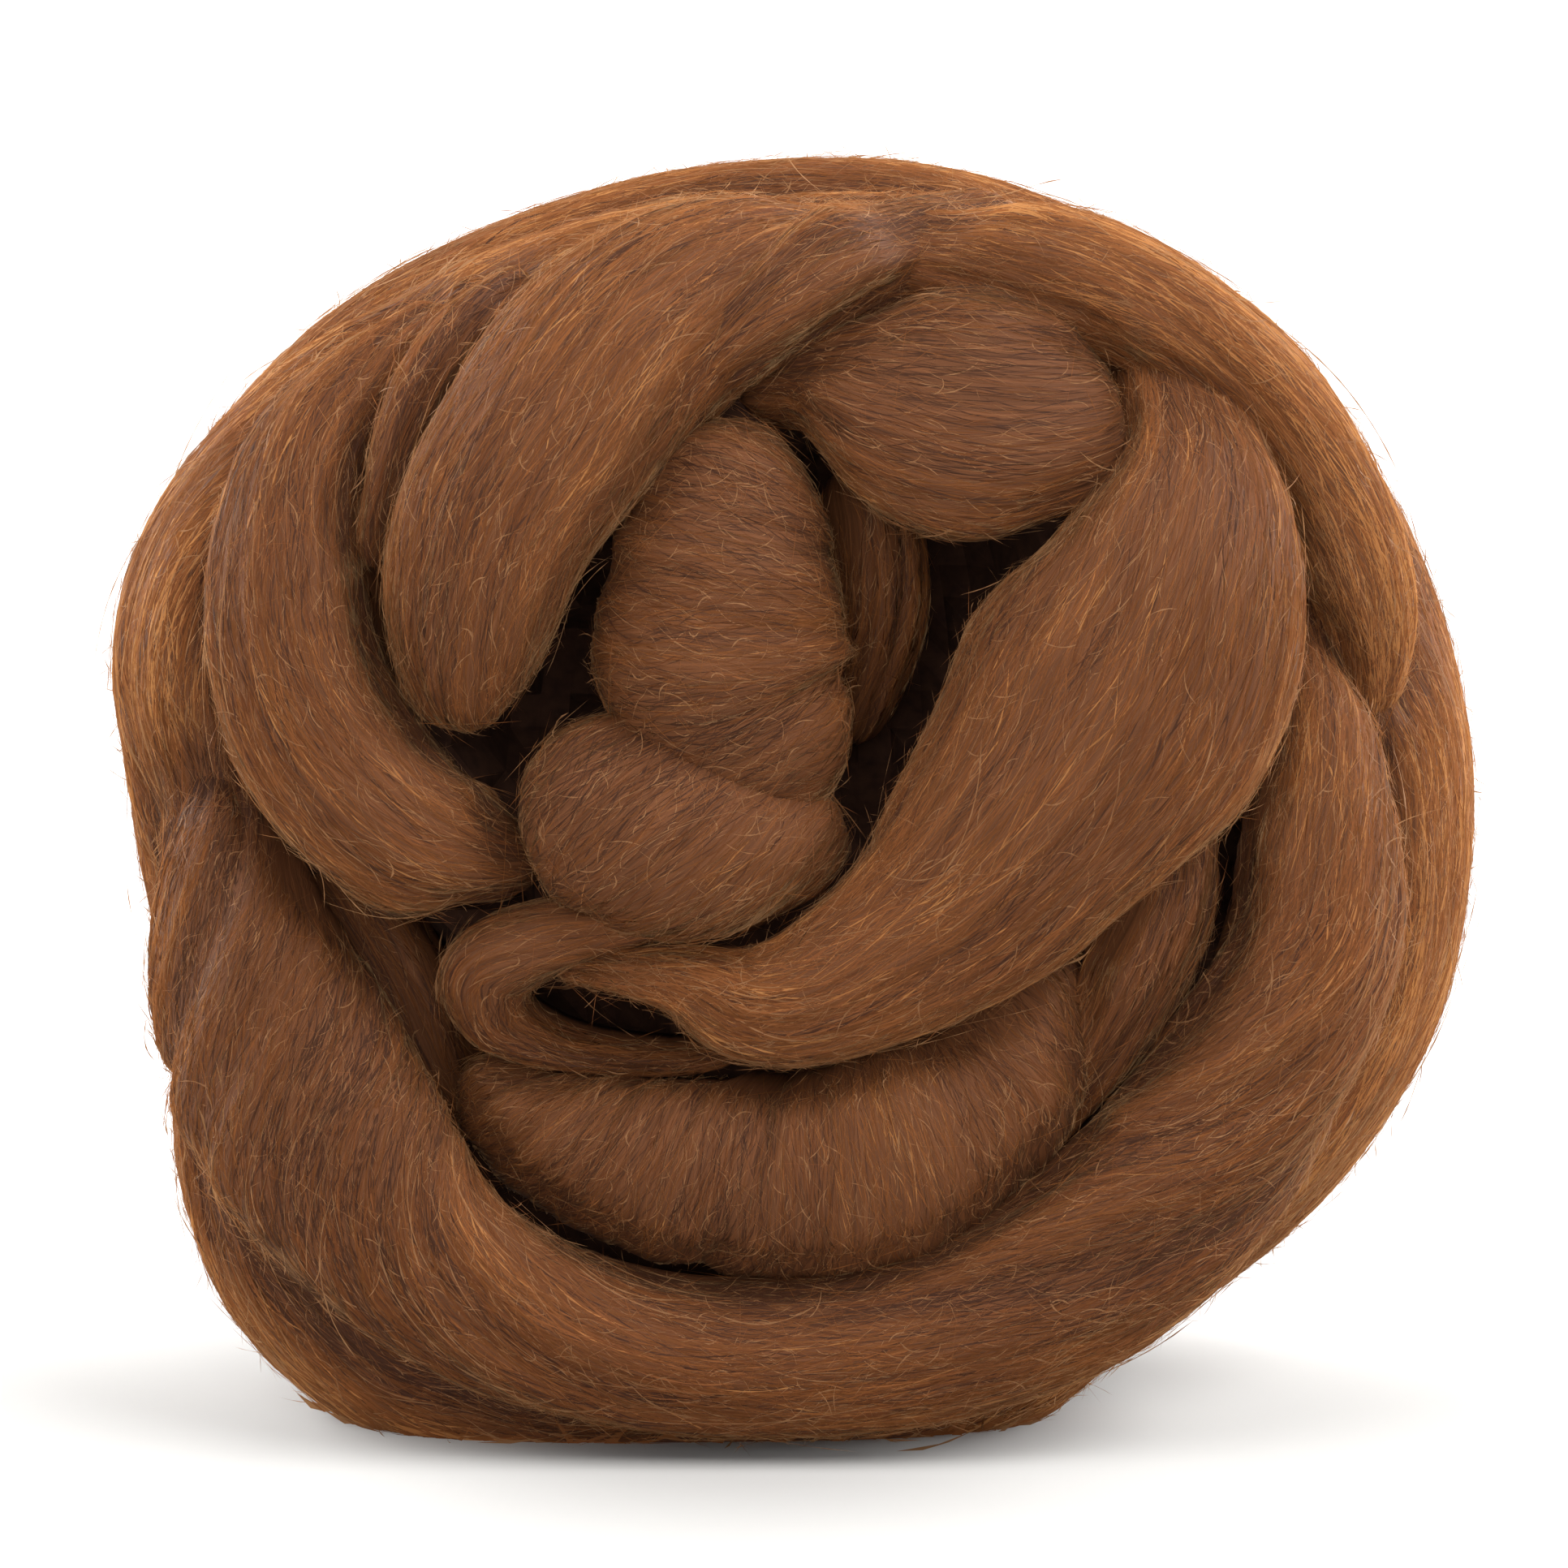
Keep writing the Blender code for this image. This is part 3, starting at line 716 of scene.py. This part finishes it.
bump = add_node(
    tree,
    "ShaderNodeBump",
    links={"Height": wisps.outputs["Fac"]},
    Strength=0.6,
    Distance=0.2 * MM,
)
tree.links.new(bump.outputs["Normal"], shader.inputs["Normal"])
print("the band's wisps are", WISP, "by", WISP_LENGTH, "mm")

# %% [markdown]
# ## Wool deep in the creases
#
# Down between the laps the wool is in shade, and little light finds its way out again. So
# the imported wool there is given a darker brown as painted shade: the same dyed wool, matt
# and without sheen, with a fine uneven grain where the ends of hairs point outwards.

# %% Wool deep in the creases, with painted shade
GRAIN = 2.0  # mm
painted_shade_material, tree, shader = wool_shader(
    "wool_painted_crease_shade", roughness=0.9, sheen=0.0
)
# Painted shade: the core's two dark browns stand for the shade down in the gaps.
two_tone(tree, shader, "#2a1811", "#3d261a", scale=1 / (GRAIN * MM), detail=6.0)
print("the packed wool's grain is", GRAIN, "mm")

# %% [markdown]
# ## The laps
#
# A lap's mesh is a skin over rings of points. The side that faces out of the nest gets
# most of the points, because the inner side never shows. Each lap is closed with a point
# at each end, and it replaces the plain solid that stands for the whole nest in MuJoCo.

# %% How a lap is skinned
RING_STEP = 1.4  # mm between rings
WINDING_RING_STEP = 3.2  # mm, because it is long and bends gently
RING_SIDES = 56
END_CROWDING = 0.15  # how strongly the rings gather at the lap's ends
OUTWARD_SHARE = 0.45  # how strongly the points gather on the outward side


def add_to_nest(piece):
    """Says what a finished piece is: part of the one wool body, in place of its solid."""
    bpy.context.scene.collection.objects.link(piece)
    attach(piece, "root")
    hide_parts("roving")


def lap_mesh(name, lap):
    """The lap's skin as a mesh with its hair lines as a UV map."""
    step = WINDING_RING_STEP if name == "winding" else RING_STEP
    count = round(lap["length"] / (step * MM))
    ends = 0.5 - 0.5 * np.cos(np.linspace(0, np.pi, count + 1))
    share = END_CROWDING * ends + (1 - END_CROWDING) * np.linspace(0, 1, count + 1)
    along = share[1:-1] * lap["length"]
    even = np.linspace(0, 2 * np.pi, RING_SIDES, endpoint=False)
    around = -np.pi / 2 + even + OUTWARD_SHARE * np.sin(even)
    grid_along, grid_around = np.meshgrid(along, around, indexing="ij")
    points = lap_surface(lap, grid_along, grid_around)
    points[..., 2] = np.maximum(points[..., 2], 0.0)
    across, onward = hair_lines(lap, grid_along, grid_around)
    shape = bmesh.new()
    lines = shape.loops.layers.uv.new("hair_lines")
    rings = [[shape.verts.new(p) for p in ring] for ring in points]
    tips = [shape.verts.new(ring.mean(axis=0)) for ring in (points[0], points[-1])]
    uv = {}
    for ring, u_row, v_row in zip(rings, across, onward):
        for vert, u, v in zip(ring, u_row, v_row):
            uv[vert] = (u, v)
    uv[tips[0]], uv[tips[1]] = uv[rings[0][0]], uv[rings[-1][0]]
    faces = []
    for low, high in zip(rings, rings[1:]):
        for i in range(RING_SIDES):
            j = (i + 1) % RING_SIDES
            faces.append((low[i], low[j], high[j], high[i]))
    for i in range(RING_SIDES):
        j = (i + 1) % RING_SIDES
        faces.append((tips[0], rings[0][j], rings[0][i]))
        faces.append((tips[1], rings[-1][i], rings[-1][j]))
    for corners in faces:
        face = shape.faces.new(corners)
        face.smooth = True
        for loop in face.loops:
            loop[lines].uv = uv[loop.vert]
    bmesh.ops.recalc_face_normals(shape, faces=shape.faces)
    mesh = bpy.data.meshes.new(name)
    shape.to_mesh(mesh)
    shape.free()
    return mesh


print("a ring has", RING_SIDES, "points")

# %% [markdown]
# ## The imported core
#
# Inside, the nest is simply full of wool. A round cushion with a nearly flat front stands
# for it. Where the real nest has a gap between its laps, one looks a long way down, so the
# cushion is hollowed there and painted dark brown as painted shade, and the gap stays dark.

# %% The imported core
CORE_RADIUS = 60.0  # mm
CORE_HALF_DEPTH = 24.0  # mm
SQUARENESS = 6  # 2 would make the cushion and its hollows round, and more makes them square
# Hollows in the core's front, under the gaps between laps: across, up, reach, depth, in mm
HOLLOWS = (
    (5, 110, 7, 18),
    (16, 102, 10, 22),
    (13, 88, 9, 22),
    (9, 78, 6, 16),
    (-22, 100, 5, 16),
    (-25, 89, 7, 20),
    (-30, 82, 6, 18),
    (-37, 67, 5, 14),
    (-50, 60, 6, 18),
    (-45, 52, 7, 20),
    (-40, 43, 7, 20),
    (-29, 52, 6, 16),
    (-21, 51, 6, 16),
    (50, 66, 6, 14),
)


def hollow(across, up):
    """How deep the core's front is hollowed at a spot, in mm."""
    return max(
        deep / (1 + (math.hypot(across - x, up - z) / reach) ** SQUARENESS)
        for x, z, reach, deep in HOLLOWS
    )


shape = bmesh.new()
bmesh.ops.create_uvsphere(shape, u_segments=96, v_segments=48, radius=1.0)
for vert in shape.verts:
    x, y, z = vert.co
    spread = min(math.hypot(x, z), 1.0)
    deep = (1 - spread**SQUARENESS) ** (1 / SQUARENESS) * CORE_HALF_DEPTH
    across, up = x * CORE_RADIUS, MIDDLE_HEIGHT + z * CORE_RADIUS
    if y < 0:
        deep -= hollow(across, up)
    vert.co = Vector((across, math.copysign(deep, y), up)) * MM
core_mesh = bpy.data.meshes.new("packed_core")
shape.to_mesh(core_mesh)
shape.free()
# The core is painted dark brown: painted shade for the gaps between the laps.
core_mesh.materials.append(painted_shade_material)
core = bpy.data.objects.new("packed_core", core_mesh)
add_to_nest(core)
print(len(HOLLOWS), "hollows in the core's front")

# %% [markdown]
# Now each lap is skinned and gets the band's material.

# %% Skin the laps
skins = [core]
for name, lap in LAPS.items():
    mesh = lap_mesh(name, lap)
    mesh.materials.append(band_material)
    piece = bpy.data.objects.new("lap_" + name, mesh)
    add_to_nest(piece)
    skins.append(piece)
print("core and laps:", sum(2 * len(skin.data.polygons) for skin in skins), "triangles")

# %% [markdown]
# ## The fibres
#
# Blender's hair could grow these fibres, but hair is born standing on the surface, and
# combed wool lies down. So each fibre walks over a lap: it starts somewhere, and at each
# step it goes the way that the wool is combed there, give or take a little. It is drawn
# as a thin ribbon of triangles laid in zigzag, which needs few faces for its length.
#
# Fibres that lie where another lap covers them are dropped: a ray from the fibre has to
# reach the open air. A search tree of all the skins answers thousands of such rays fast.

# %% Which places are in the open
first_verts = np.cumsum([0] + [len(skin.data.vertices) for skin in skins]).tolist()
every_skin = BVHTree.FromPolygons(
    [vert.co for skin in skins for vert in skin.data.vertices],
    [
        tuple(first + i for i in face.vertices)
        for first, skin in zip(first_verts, skins)
        for face in skin.data.polygons
    ],
)
RAY_START = 1.2 * MM  # above the fibre, so that the ray clears its own lap's ridges
RAY_LENGTH = 60 * MM  # from there on, the ray is in the open air
RAY_TILTS = ((0, 0, 0), (0.9, 0, 0.3), (-0.9, 0, 0.3), (0, -0.9, 0), (0, 0.9, 0))


def in_the_open(points, normals):
    """True where a ray from the point, straight out or to a side, meets nothing."""
    free = np.zeros(len(points), bool)
    for tilt in RAY_TILTS:
        ways = unit(normals + tilt)
        starts = points + normals * RAY_START
        for i in np.flatnonzero(~free):
            hit = every_skin.ray_cast(Vector(starts[i]), Vector(ways[i]), RAY_LENGTH)
            free[i] = hit[0] is None
    return free


print("rays are cast past", len(skins), "skins")

# %% [markdown]
# A fibre's path is a row of places on the lap. Its heading strays a little from the comb,
# and swings a little more from end to end, since no hair lies quite straight. A path that
# would run off the end of its lap is shortened, or dropped where little of it is left.

# %% Walk fibres over a lap
CLOSE_BY = 0.8 * MM  # along the lap, to measure how its surface leans
CLOSE_TURN = 0.06  # and round it, in radians


def normals_at(lap, along, around):
    """The lap's outward normals, from points close by."""
    ahead = lap_surface(lap, along + CLOSE_BY, around)
    onward = ahead - lap_surface(lap, along - CLOSE_BY, around)
    left = lap_surface(lap, along, around + CLOSE_TURN)
    sideways = left - lap_surface(lap, along, around - CLOSE_TURN)
    normal = unit(np.cross(sideways, onward))
    outward = lap_surface(lap, along, around) - sections_at(lap, along)[0]
    flip = np.sign((normal * outward).sum(axis=-1, keepdims=True))
    return normal * flip


OUTWARD_SIDE = (-25, 205)  # degrees round the lap where fibres start
SWING_SHARE = 0.7  # of its stray, by which a fibre's way turns from end to end
END_MARGIN = 0.3 * MM  # that a fibre keeps from the lap's tips
SHORTEST_SHARE = 0.25  # of its length that a fibre keeps, or else it goes


def walk(lap, rng, count, length, stray, steps):
    """Paths of fibres over a lap, as (along, around), each count by steps."""
    along = np.empty((count, steps))
    around = np.empty((count, steps))
    along[:, 0] = rng.uniform(0, lap["length"], count)
    around[:, 0] = np.radians(rng.uniform(*OUTWARD_SIDE, count))
    step = length / (steps - 1)
    heading = rng.normal(0, 1, count) * stray
    swing = rng.normal(0, 1, count) * stray * SWING_SHARE
    way = rng.choice((0, np.pi), count)
    for i in range(1, steps):
        half, comb = sections_at(lap, along[:, i - 1])[3:]
        turn = comb[:, 0] + heading + swing * math.cos(math.pi * i / steps) + way
        here = around[:, i - 1]
        pace = np.hypot(half[:, 0] * np.sin(here), half[:, 1] * np.cos(here))
        along[:, i] = along[:, i - 1] + np.cos(turn) * step
        around[:, i] = here + np.sin(turn) * step / pace
    first, gone = along[:, :1], along - along[:, :1]
    room = np.where(gone > 0, lap["length"] - END_MARGIN - first, END_MARGIN - first)
    share = np.where(gone == 0, np.inf, room / np.where(gone == 0, 1, gone))
    share = np.clip(share.min(axis=1, keepdims=True), 0, 1)
    kept = share[:, 0] > SHORTEST_SHARE
    along, around = first + gone * share, around[:, :1] + (around - around[:, :1]) * share
    return along[kept], around[kept]


print("fibres start on the outward", OUTWARD_SIDE[1] - OUTWARD_SIDE[0], "degrees of a lap")

# %% [markdown]
# A ribbon has few triangles, so on a tight bend it would cut the corner and show as a
# shard. There the fibre is made shorter, about its middle, until its triangles can follow
# the bend. One function then does all that every kind of fibre needs: it scatters them,
# walks them, shortens them, and drops those that are covered.

# %% Paths that show and follow the bends
MOST_BOW = 0.16 * MM  # between a fibre's curve and a straight line over two of its steps


def lap_area(lap):
    """The area of the lap's outward side, in square mm."""
    half = lap["sections"][:, 9:11].mean(axis=0)
    return math.pi * half.mean() * lap["length"] * 1e6


def eased(lap, along, around):
    """The paths, shortened about their middles where they go round a tight bend."""
    points = lap_surface(lap, along, around)
    bow = points[:, 1:-1] - (points[:, :-2] + points[:, 2:]) / 2
    bow = np.linalg.norm(bow, axis=2).max(axis=1)
    share = np.sqrt(np.clip(MOST_BOW / np.maximum(bow, 1e-9), 0, 1))[:, None]
    middle = along.shape[1] // 2
    return tuple(
        way[:, middle : middle + 1] + (way - way[:, middle : middle + 1]) * share
        for way in (along, around)
    )


def open_paths(lap, rng, density, lengths, stray, steps):
    """Paths over a lap whose middles aren't covered, with each middle's place and normal."""
    count = round(density * lap_area(lap))
    length = rng.uniform(*lengths, count) * MM
    along, around = walk(lap, rng, count, length, math.radians(stray), steps)
    along, around = eased(lap, along, around)
    middle = steps // 2
    spots = lap_surface(lap, along[:, middle], around[:, middle])
    facing = normals_at(lap, along[:, middle], around[:, middle])
    kept = in_the_open(spots, facing)
    return along[kept], around[kept], spots[kept], facing[kept]


print("the laps' outward sides are", round(sum(map(lap_area, LAPS.values())) / 100), "cm2")

# %% [markdown]
# The ribbons are 0.025 to 0.11 mm wide. A real hair is nearer 0.02 mm, so each ribbon
# stands for a wisp of a few hairs that cling together. Its normals are those of the lap
# that it lies on, tilted a little, so that the fibres shade as one soft surface with a
# fine grain. Ribbons this thin would shade and tint each other in a way that real, round
# hairs don't, so they cast no shadow and pass no light on: the laps under them do that.

# %% Turn paths into ribbons
LOWEST_FIBRE = 0.05 * MM  # above the floor
LYING_ROLL = 0.45  # radians that a ribbon is rolled out of the surface, more or less
STANDING_ROLL = 1.2  # the same, for hairs that stand free and show from any side
TILT = 0.2  # how far a ribbon's normals lean to one side, more or less


def ribbons(points, normals, widths, rng, roll_spread=LYING_ROLL):
    """Vertices, normals and triangles of zigzag ribbons along the paths."""
    count, steps = points.shape[:2]
    onward = unit(np.gradient(points, axis=1))
    sideways = unit(np.cross(onward, normals))
    roll = rng.normal(0, roll_spread, (count, 1, 1))
    flat = sideways * np.cos(roll) + normals * np.sin(roll)
    taper = np.sin(np.pi * (np.arange(steps) + 0.6) / (steps + 0.2)) ** 0.6
    side = np.where(np.arange(steps) % 2 == 0, 0.5, -0.5) * taper
    verts = points + flat * (widths[:, None] * side)[..., None]
    tilt = rng.normal(0, TILT, (count, 1, 1))
    shading = unit(normals + sideways * tilt)
    first = np.arange(steps - 2)
    triangle = np.stack([first, first + 1, first + 2], axis=1)
    faces = (np.arange(count) * steps)[:, None, None] + triangle[None]
    verts, shading, faces = (part.reshape(-1, 3) for part in (verts, shading, faces))
    verts[:, 2] = np.maximum(verts[:, 2], LOWEST_FIBRE)
    a, b, c = (verts[faces[:, corner]] for corner in range(3))
    inward = (np.cross(b - a, c - a) * shading[faces[:, 1]]).sum(axis=1) < 0
    faces[inward] = faces[inward, ::-1]
    return verts, shading, faces


def ribbon_piece(name, batches, material):
    """One piece from several batches of ribbons."""
    starts = np.cumsum([0] + [len(batch[0]) for batch in batches])
    verts = np.concatenate([batch[0] for batch in batches])
    shading = np.concatenate([batch[1] for batch in batches])
    faces = np.concatenate([b[2] + start for b, start in zip(batches, starts)])
    mesh = bpy.data.meshes.new(name)
    mesh.vertices.add(len(verts))
    mesh.vertices.foreach_set("co", verts.astype(np.float32).ravel())
    mesh.loops.add(faces.size)
    mesh.loops.foreach_set("vertex_index", faces.astype(np.int32).ravel())
    mesh.polygons.add(len(faces))
    mesh.polygons.foreach_set("loop_start", np.arange(0, faces.size, 3, dtype=np.int32))
    mesh.polygons.foreach_set("use_smooth", np.ones(len(faces), bool))
    mesh.update(calc_edges=True)
    mesh.validate()
    mesh.normals_split_custom_set_from_vertices(shading.tolist())
    mesh.materials.append(material)
    piece = bpy.data.objects.new(name, mesh)
    piece.visible_diffuse = False
    piece.visible_shadow = False
    add_to_nest(piece)
    print(f"{name}: {len(faces)} triangles")


print("no fibre lies lower than", LOWEST_FIBRE / MM, "mm above the floor")

# %% [markdown]
# ## The combed fibres
#
# These cover the whole nest. Which of the five browns a fibre gets is partly dye and partly
# painted light and shade. Hairs in the same strand have taken the dye alike. A fibre on a
# ridge is painted paler and one in a groove darker, and wool down in a crease is painted
# darker still, since the ribbons cast no shade of their own. The outer laps are painted
# paler and two sheltered ones darker. The rest is chance, from hair to hair. A fibre rises a
# little between its ends, so that the layer is soft and not one smooth shell.

# %% Comb the lying fibres
FIBRES_PER_SQUARE_MM = 2.5
FIBRE_LENGTHS = (6, 17)  # mm: shorter than real ones, whose ends don't show
FIBRE_STRAY = 9  # degrees
FIBRE_POINTS = 6
FIBRE_WIDTHS = (0.06, 0.11)  # mm
FIBRE_RISE = (0.05, 0.45)  # mm
STRAND_WIDTH = 1.1  # mm between lighter and darker strands
STRAND_LENGTH = 30  # mm
STRAND_SHARE = 0.5  # how much of a fibre's tone is its strand's
RIDGE_LIGHT_GROOVE_SHADE = 0.5  # painted light and shade: how much each mm of ridge makes a fibre paler, or of groove darker
CHANCE = 0.42  # and chance, more or less
CREASE_SHADE = 0.8  # painted shade: how much darker the wool is painted for each mm that a crease is deep
SHALLOW = 1.0  # mm: creases up to here, or up to the lap's own median, get no painted shade
LAP_PAINTED_LIGHT = {  # painted light: outer laps are painted paler, and sheltered ones darker as painted shade
    "winding": 0.5,
    "shoulder": 1.0,
    "lower_strip": 0.4,
    "start_lower": -0.35,
    "upper_right_fan": -0.3,
}
TONE_STEPS = (-0.45, -0.02, 0.42, 1.05)  # between one brown and the next
rng = np.random.default_rng(2024)
batches = {name: [] for name in FIBRE_COLOURS}
for name, lap in LAPS.items():
    along, around, _, _ = open_paths(
        lap, rng, FIBRES_PER_SQUARE_MM, FIBRE_LENGTHS, FIBRE_STRAY, FIBRE_POINTS
    )
    height = rng.uniform(*FIBRE_RISE, (len(along), 1)) * MM
    arch = np.sin(np.linspace(0, np.pi, FIBRE_POINTS)) ** 0.5
    points = lap_surface(lap, along, around, lift=height * arch)
    normals = normals_at(lap, along, around)
    widths = rng.uniform(*FIBRE_WIDTHS, len(along)) * MM
    place = along[:, FIBRE_POINTS // 2], around[:, FIBRE_POINTS // 2]
    across, onward = hair_lines(lap, *place)
    strand = soft_hills(
        across / (STRAND_WIDTH * MM), onward / (STRAND_LENGTH * MM), lap["seed"] + 5
    )
    # Painted light and shade: a ridge makes a fibre paler and a groove makes it darker.
    groove = relief(lap, *place) / MM
    # Painted shade: a fibre deep in a crease is made darker.
    crease = pressed_in(lap, *place) / MM
    crease = np.maximum(crease - max(SHALLOW, np.median(crease)), 0)
    tone = STRAND_SHARE * strand + RIDGE_LIGHT_GROOVE_SHADE * groove - CREASE_SHADE * crease
    # Painted light on the outer laps and painted shade on sheltered ones, then chance.
    tone = tone + LAP_PAINTED_LIGHT.get(name, 0.0) + rng.normal(0, CHANCE, len(along))
    which = np.searchsorted(TONE_STEPS, tone)
    for number, colour in enumerate(FIBRE_COLOURS):
        pick = which == number
        batches[colour].append(ribbons(points[pick], normals[pick], widths[pick], rng))
for colour, made in batches.items():
    ribbon_piece("fibres_" + colour, made, fibre_materials[colour])

# %% [markdown]
# ## Loose hairs and fuzz
#
# Wool is never quite smooth. Long hairs work loose at one end, and a short, soft fuzz
# stands a millimetre or two off the wool all over. One by one they hardly show, but where
# the nest turns away from the eye they lie in front of each other and give the outline
# the pale, soft edge that says wool at once. They are walked over the laps as the others
# are, but they stray further and climb from the surface as they go.

# %% Loose hairs and fuzz
def standing_hairs(name, density, lengths, stray, steps, rise, climbs, widths, roll):
    """A piece of hairs that leave the wool: rise is how far, and climbs how suddenly."""
    batches = []
    for lap in LAPS.values():
        along, around, _, _ = open_paths(lap, rng, density, lengths, stray, steps)
        height = rng.gamma(*rise, (len(along), 1)) * MM
        climb = np.linspace(0, 1, steps) ** rng.uniform(*climbs, (len(along), 1))
        points = lap_surface(lap, along, around, lift=height * climb)
        normals = normals_at(lap, along, around)
        width = rng.uniform(*widths, len(along)) * MM
        batches.append(ribbons(points, normals, width, rng, roll))
    ribbon_piece(name, batches, loose_hair_material)


standing_hairs(
    "loose_hairs",
    density=0.07,  # to a square mm
    lengths=(12, 36),  # mm
    stray=16,  # degrees
    steps=10,
    rise=(1.6, 0.6),  # of a gamma spread, so most stay low: about 1 mm
    climbs=(0.8, 2.2),
    widths=(0.025, 0.042),  # mm
    roll=LYING_ROLL,
)
standing_hairs(
    "fuzz",
    density=0.75,
    lengths=(1.5, 4.5),
    stray=28,
    steps=5,
    rise=(2.0, 0.45),
    climbs=(0.8, 1.6),
    widths=(0.03, 0.05),
    roll=STANDING_ROLL,
)

# %% [markdown]
# Some hairs have come free for a stretch. They lie nearly straight from hilltop to hilltop,
# across the run of the others, and where they pass over a crease they soften it.

# %% Hairs across the creases
BRIDGES_PER_SQUARE_MM = 0.3
BRIDGE_LENGTHS = (6, 15)  # mm, of the walk that gives a hair its place and its way
BRIDGE_STRAY = 40  # degrees
BRIDGE_POINTS = 5
BRIDGE_REACH = (3, 7)  # mm to each side
BRIDGE_HEIGHT = (0.2, 0.8)  # mm
BRIDGE_BEND = 60 * MM  # radius
BRIDGE_WIDTHS = (0.03, 0.045)  # mm
batches = []
for lap in LAPS.values():
    along, around, spots, facing = open_paths(
        lap, rng, BRIDGES_PER_SQUARE_MM, BRIDGE_LENGTHS, BRIDGE_STRAY, BRIDGE_POINTS
    )
    onward = BRIDGE_POINTS // 2 + 1
    ahead = lap_surface(lap, along[:, onward], around[:, onward]) - spots
    ahead = unit(ahead - (ahead * facing).sum(axis=1, keepdims=True) * facing)
    reach = rng.uniform(*BRIDGE_REACH, (len(along), 1)) * MM
    reach = reach * np.linspace(-1, 1, BRIDGE_POINTS)
    height = rng.uniform(*BRIDGE_HEIGHT, (len(along), 1)) * MM
    height = height - reach**2 / (2 * BRIDGE_BEND)
    points = (
        spots[:, None]
        + reach[..., None] * ahead[:, None]
        + height[..., None] * facing[:, None]
    )
    normals = np.repeat(facing[:, None], BRIDGE_POINTS, axis=1)
    widths = rng.uniform(*BRIDGE_WIDTHS, len(along)) * MM
    batches.append(ribbons(points, normals, widths, rng, STANDING_ROLL))
ribbon_piece("bridging_hairs", batches, fibre_materials["warm_brown"])

# %% [markdown]
# ## The studio
#
# The nest stands on a pale, matt floor that is far larger than the view, so that no edge
# of it shows.

# %% Floor
FLOOR_HALF_SIDE = 12.0  # m
shape = bmesh.new()
bmesh.ops.create_grid(shape, x_segments=1, y_segments=1, size=FLOOR_HALF_SIDE)
floor_mesh = bpy.data.meshes.new("floor")
shape.to_mesh(floor_mesh)
shape.free()
floor = bpy.data.objects.new("floor", floor_mesh)
bpy.context.scene.collection.objects.link(floor)
floor_paint = bpy.data.materials.new("matt_pale_paint")
floor_paint.use_nodes = True
paint = floor_paint.node_tree.nodes["Principled BSDF"]
paint.inputs["Base Color"].default_value = linear("#b9b8b6")
paint.inputs["Roughness"].default_value = 0.9
floor_mesh.materials.append(floor_paint)
print("floor:", 2 * FLOOR_HALF_SIDE, "m a side")

# %% [markdown]
# The surround is white near the horizon, where the camera looks, and dim above. A surround
# that is white all over would fill every crease with light, and the nest would look flat.

# %% Surround
world = bpy.data.worlds.new("white_surround")
bpy.context.scene.world = world
world.use_nodes = True
tree = world.node_tree
way = add_node(tree, "ShaderNodeTexCoord")
parts = add_node(tree, "ShaderNodeSeparateXYZ", links={"Vector": way.outputs["Generated"]})
walls = add_node(tree, "ShaderNodeValToRGB", links={"Fac": parts.outputs["Z"]})
WALL_GREYS = ((0.02, 1.0), (0.18, 0.08))  # height, as the sine of its angle, and brightness
for element, (position, grey) in zip(walls.color_ramp.elements, WALL_GREYS):
    element.position = position
    element.color = (grey, grey, grey, 1)
tree.links.new(walls.outputs["Color"], tree.nodes["Background"].inputs["Color"])
bpy.context.scene.view_settings.view_transform = "Standard"
print("surround: brightness", WALL_GREYS[0][1], "at the horizon and", WALL_GREYS[1][1], "above")

# %% [markdown]
# The lamps are wide and soft. The one from high on the right gives the laps their shape,
# and the ones in front only fill its shade. The two strong ones stand behind the nest to
# the left and right. They light the hairs along the outline from the back, and that makes
# its glow. One more lights the nest's back. A sun lamp is used for each, because its light
# is the same all over the nest.

# %% Lamps
def soft_lamp(name, towards, power, spread):
    """A wide, soft lamp a long way off, given by the direction of its light."""
    lamp = bpy.data.lights.new(name, "SUN")
    lamp.energy = power
    lamp.angle = math.radians(spread)
    holder = bpy.data.objects.new(name, lamp)
    holder.rotation_euler = Vector(towards).to_track_quat("-Z", "Y").to_euler()
    bpy.context.scene.collection.objects.link(holder)


# name, the way its light goes, power, spread in degrees
LAMPS = (
    ("front", (0, 1, -0.25), 1.5, 40),
    ("high_left", (0.6, 0.35, -0.8), 1.5, 40),
    ("high_right", (-0.6, 0.35, -0.8), 3.0, 40),
    ("top", (0, 0.05, -1), 1.0, 50),
    ("back", (0, -1, -0.25), 1.6, 50),
    ("back_left", (0.8, -0.6, -0.3), 6.3, 50),
    ("back_right", (-0.8, -0.6, -0.3), 6.3, 50),
)
for name, towards, power, spread in LAMPS:
    soft_lamp(name + "_lamp", towards, power, spread)
print(len(LAMPS), "soft lamps")

# %% [markdown]
# The camera looks a little down on the nest from some way off, through a long lens, so
# that the round outline isn't stretched.

# %% Camera
CAMERA_HEIGHT_ANGLE = math.radians(8)
CAMERA_DISTANCE = 0.775  # m
AIM = Vector((-0.0009, 0.0, 0.0732))  # m, near the middle of the nest
camera = bpy.data.objects.new("camera", bpy.data.cameras.new("camera"))
camera.data.lens = 150  # mm
camera.data.sensor_width = 36  # mm
back = Vector((0, -math.cos(CAMERA_HEIGHT_ANGLE), math.sin(CAMERA_HEIGHT_ANGLE)))
camera.location = AIM + CAMERA_DISTANCE * back
camera.rotation_euler = (-back).to_track_quat("-Z", "Y").to_euler()
bpy.context.scene.collection.objects.link(camera)
bpy.context.scene.camera = camera
print("camera at", [round(part, 3) for part in camera.location], "m")
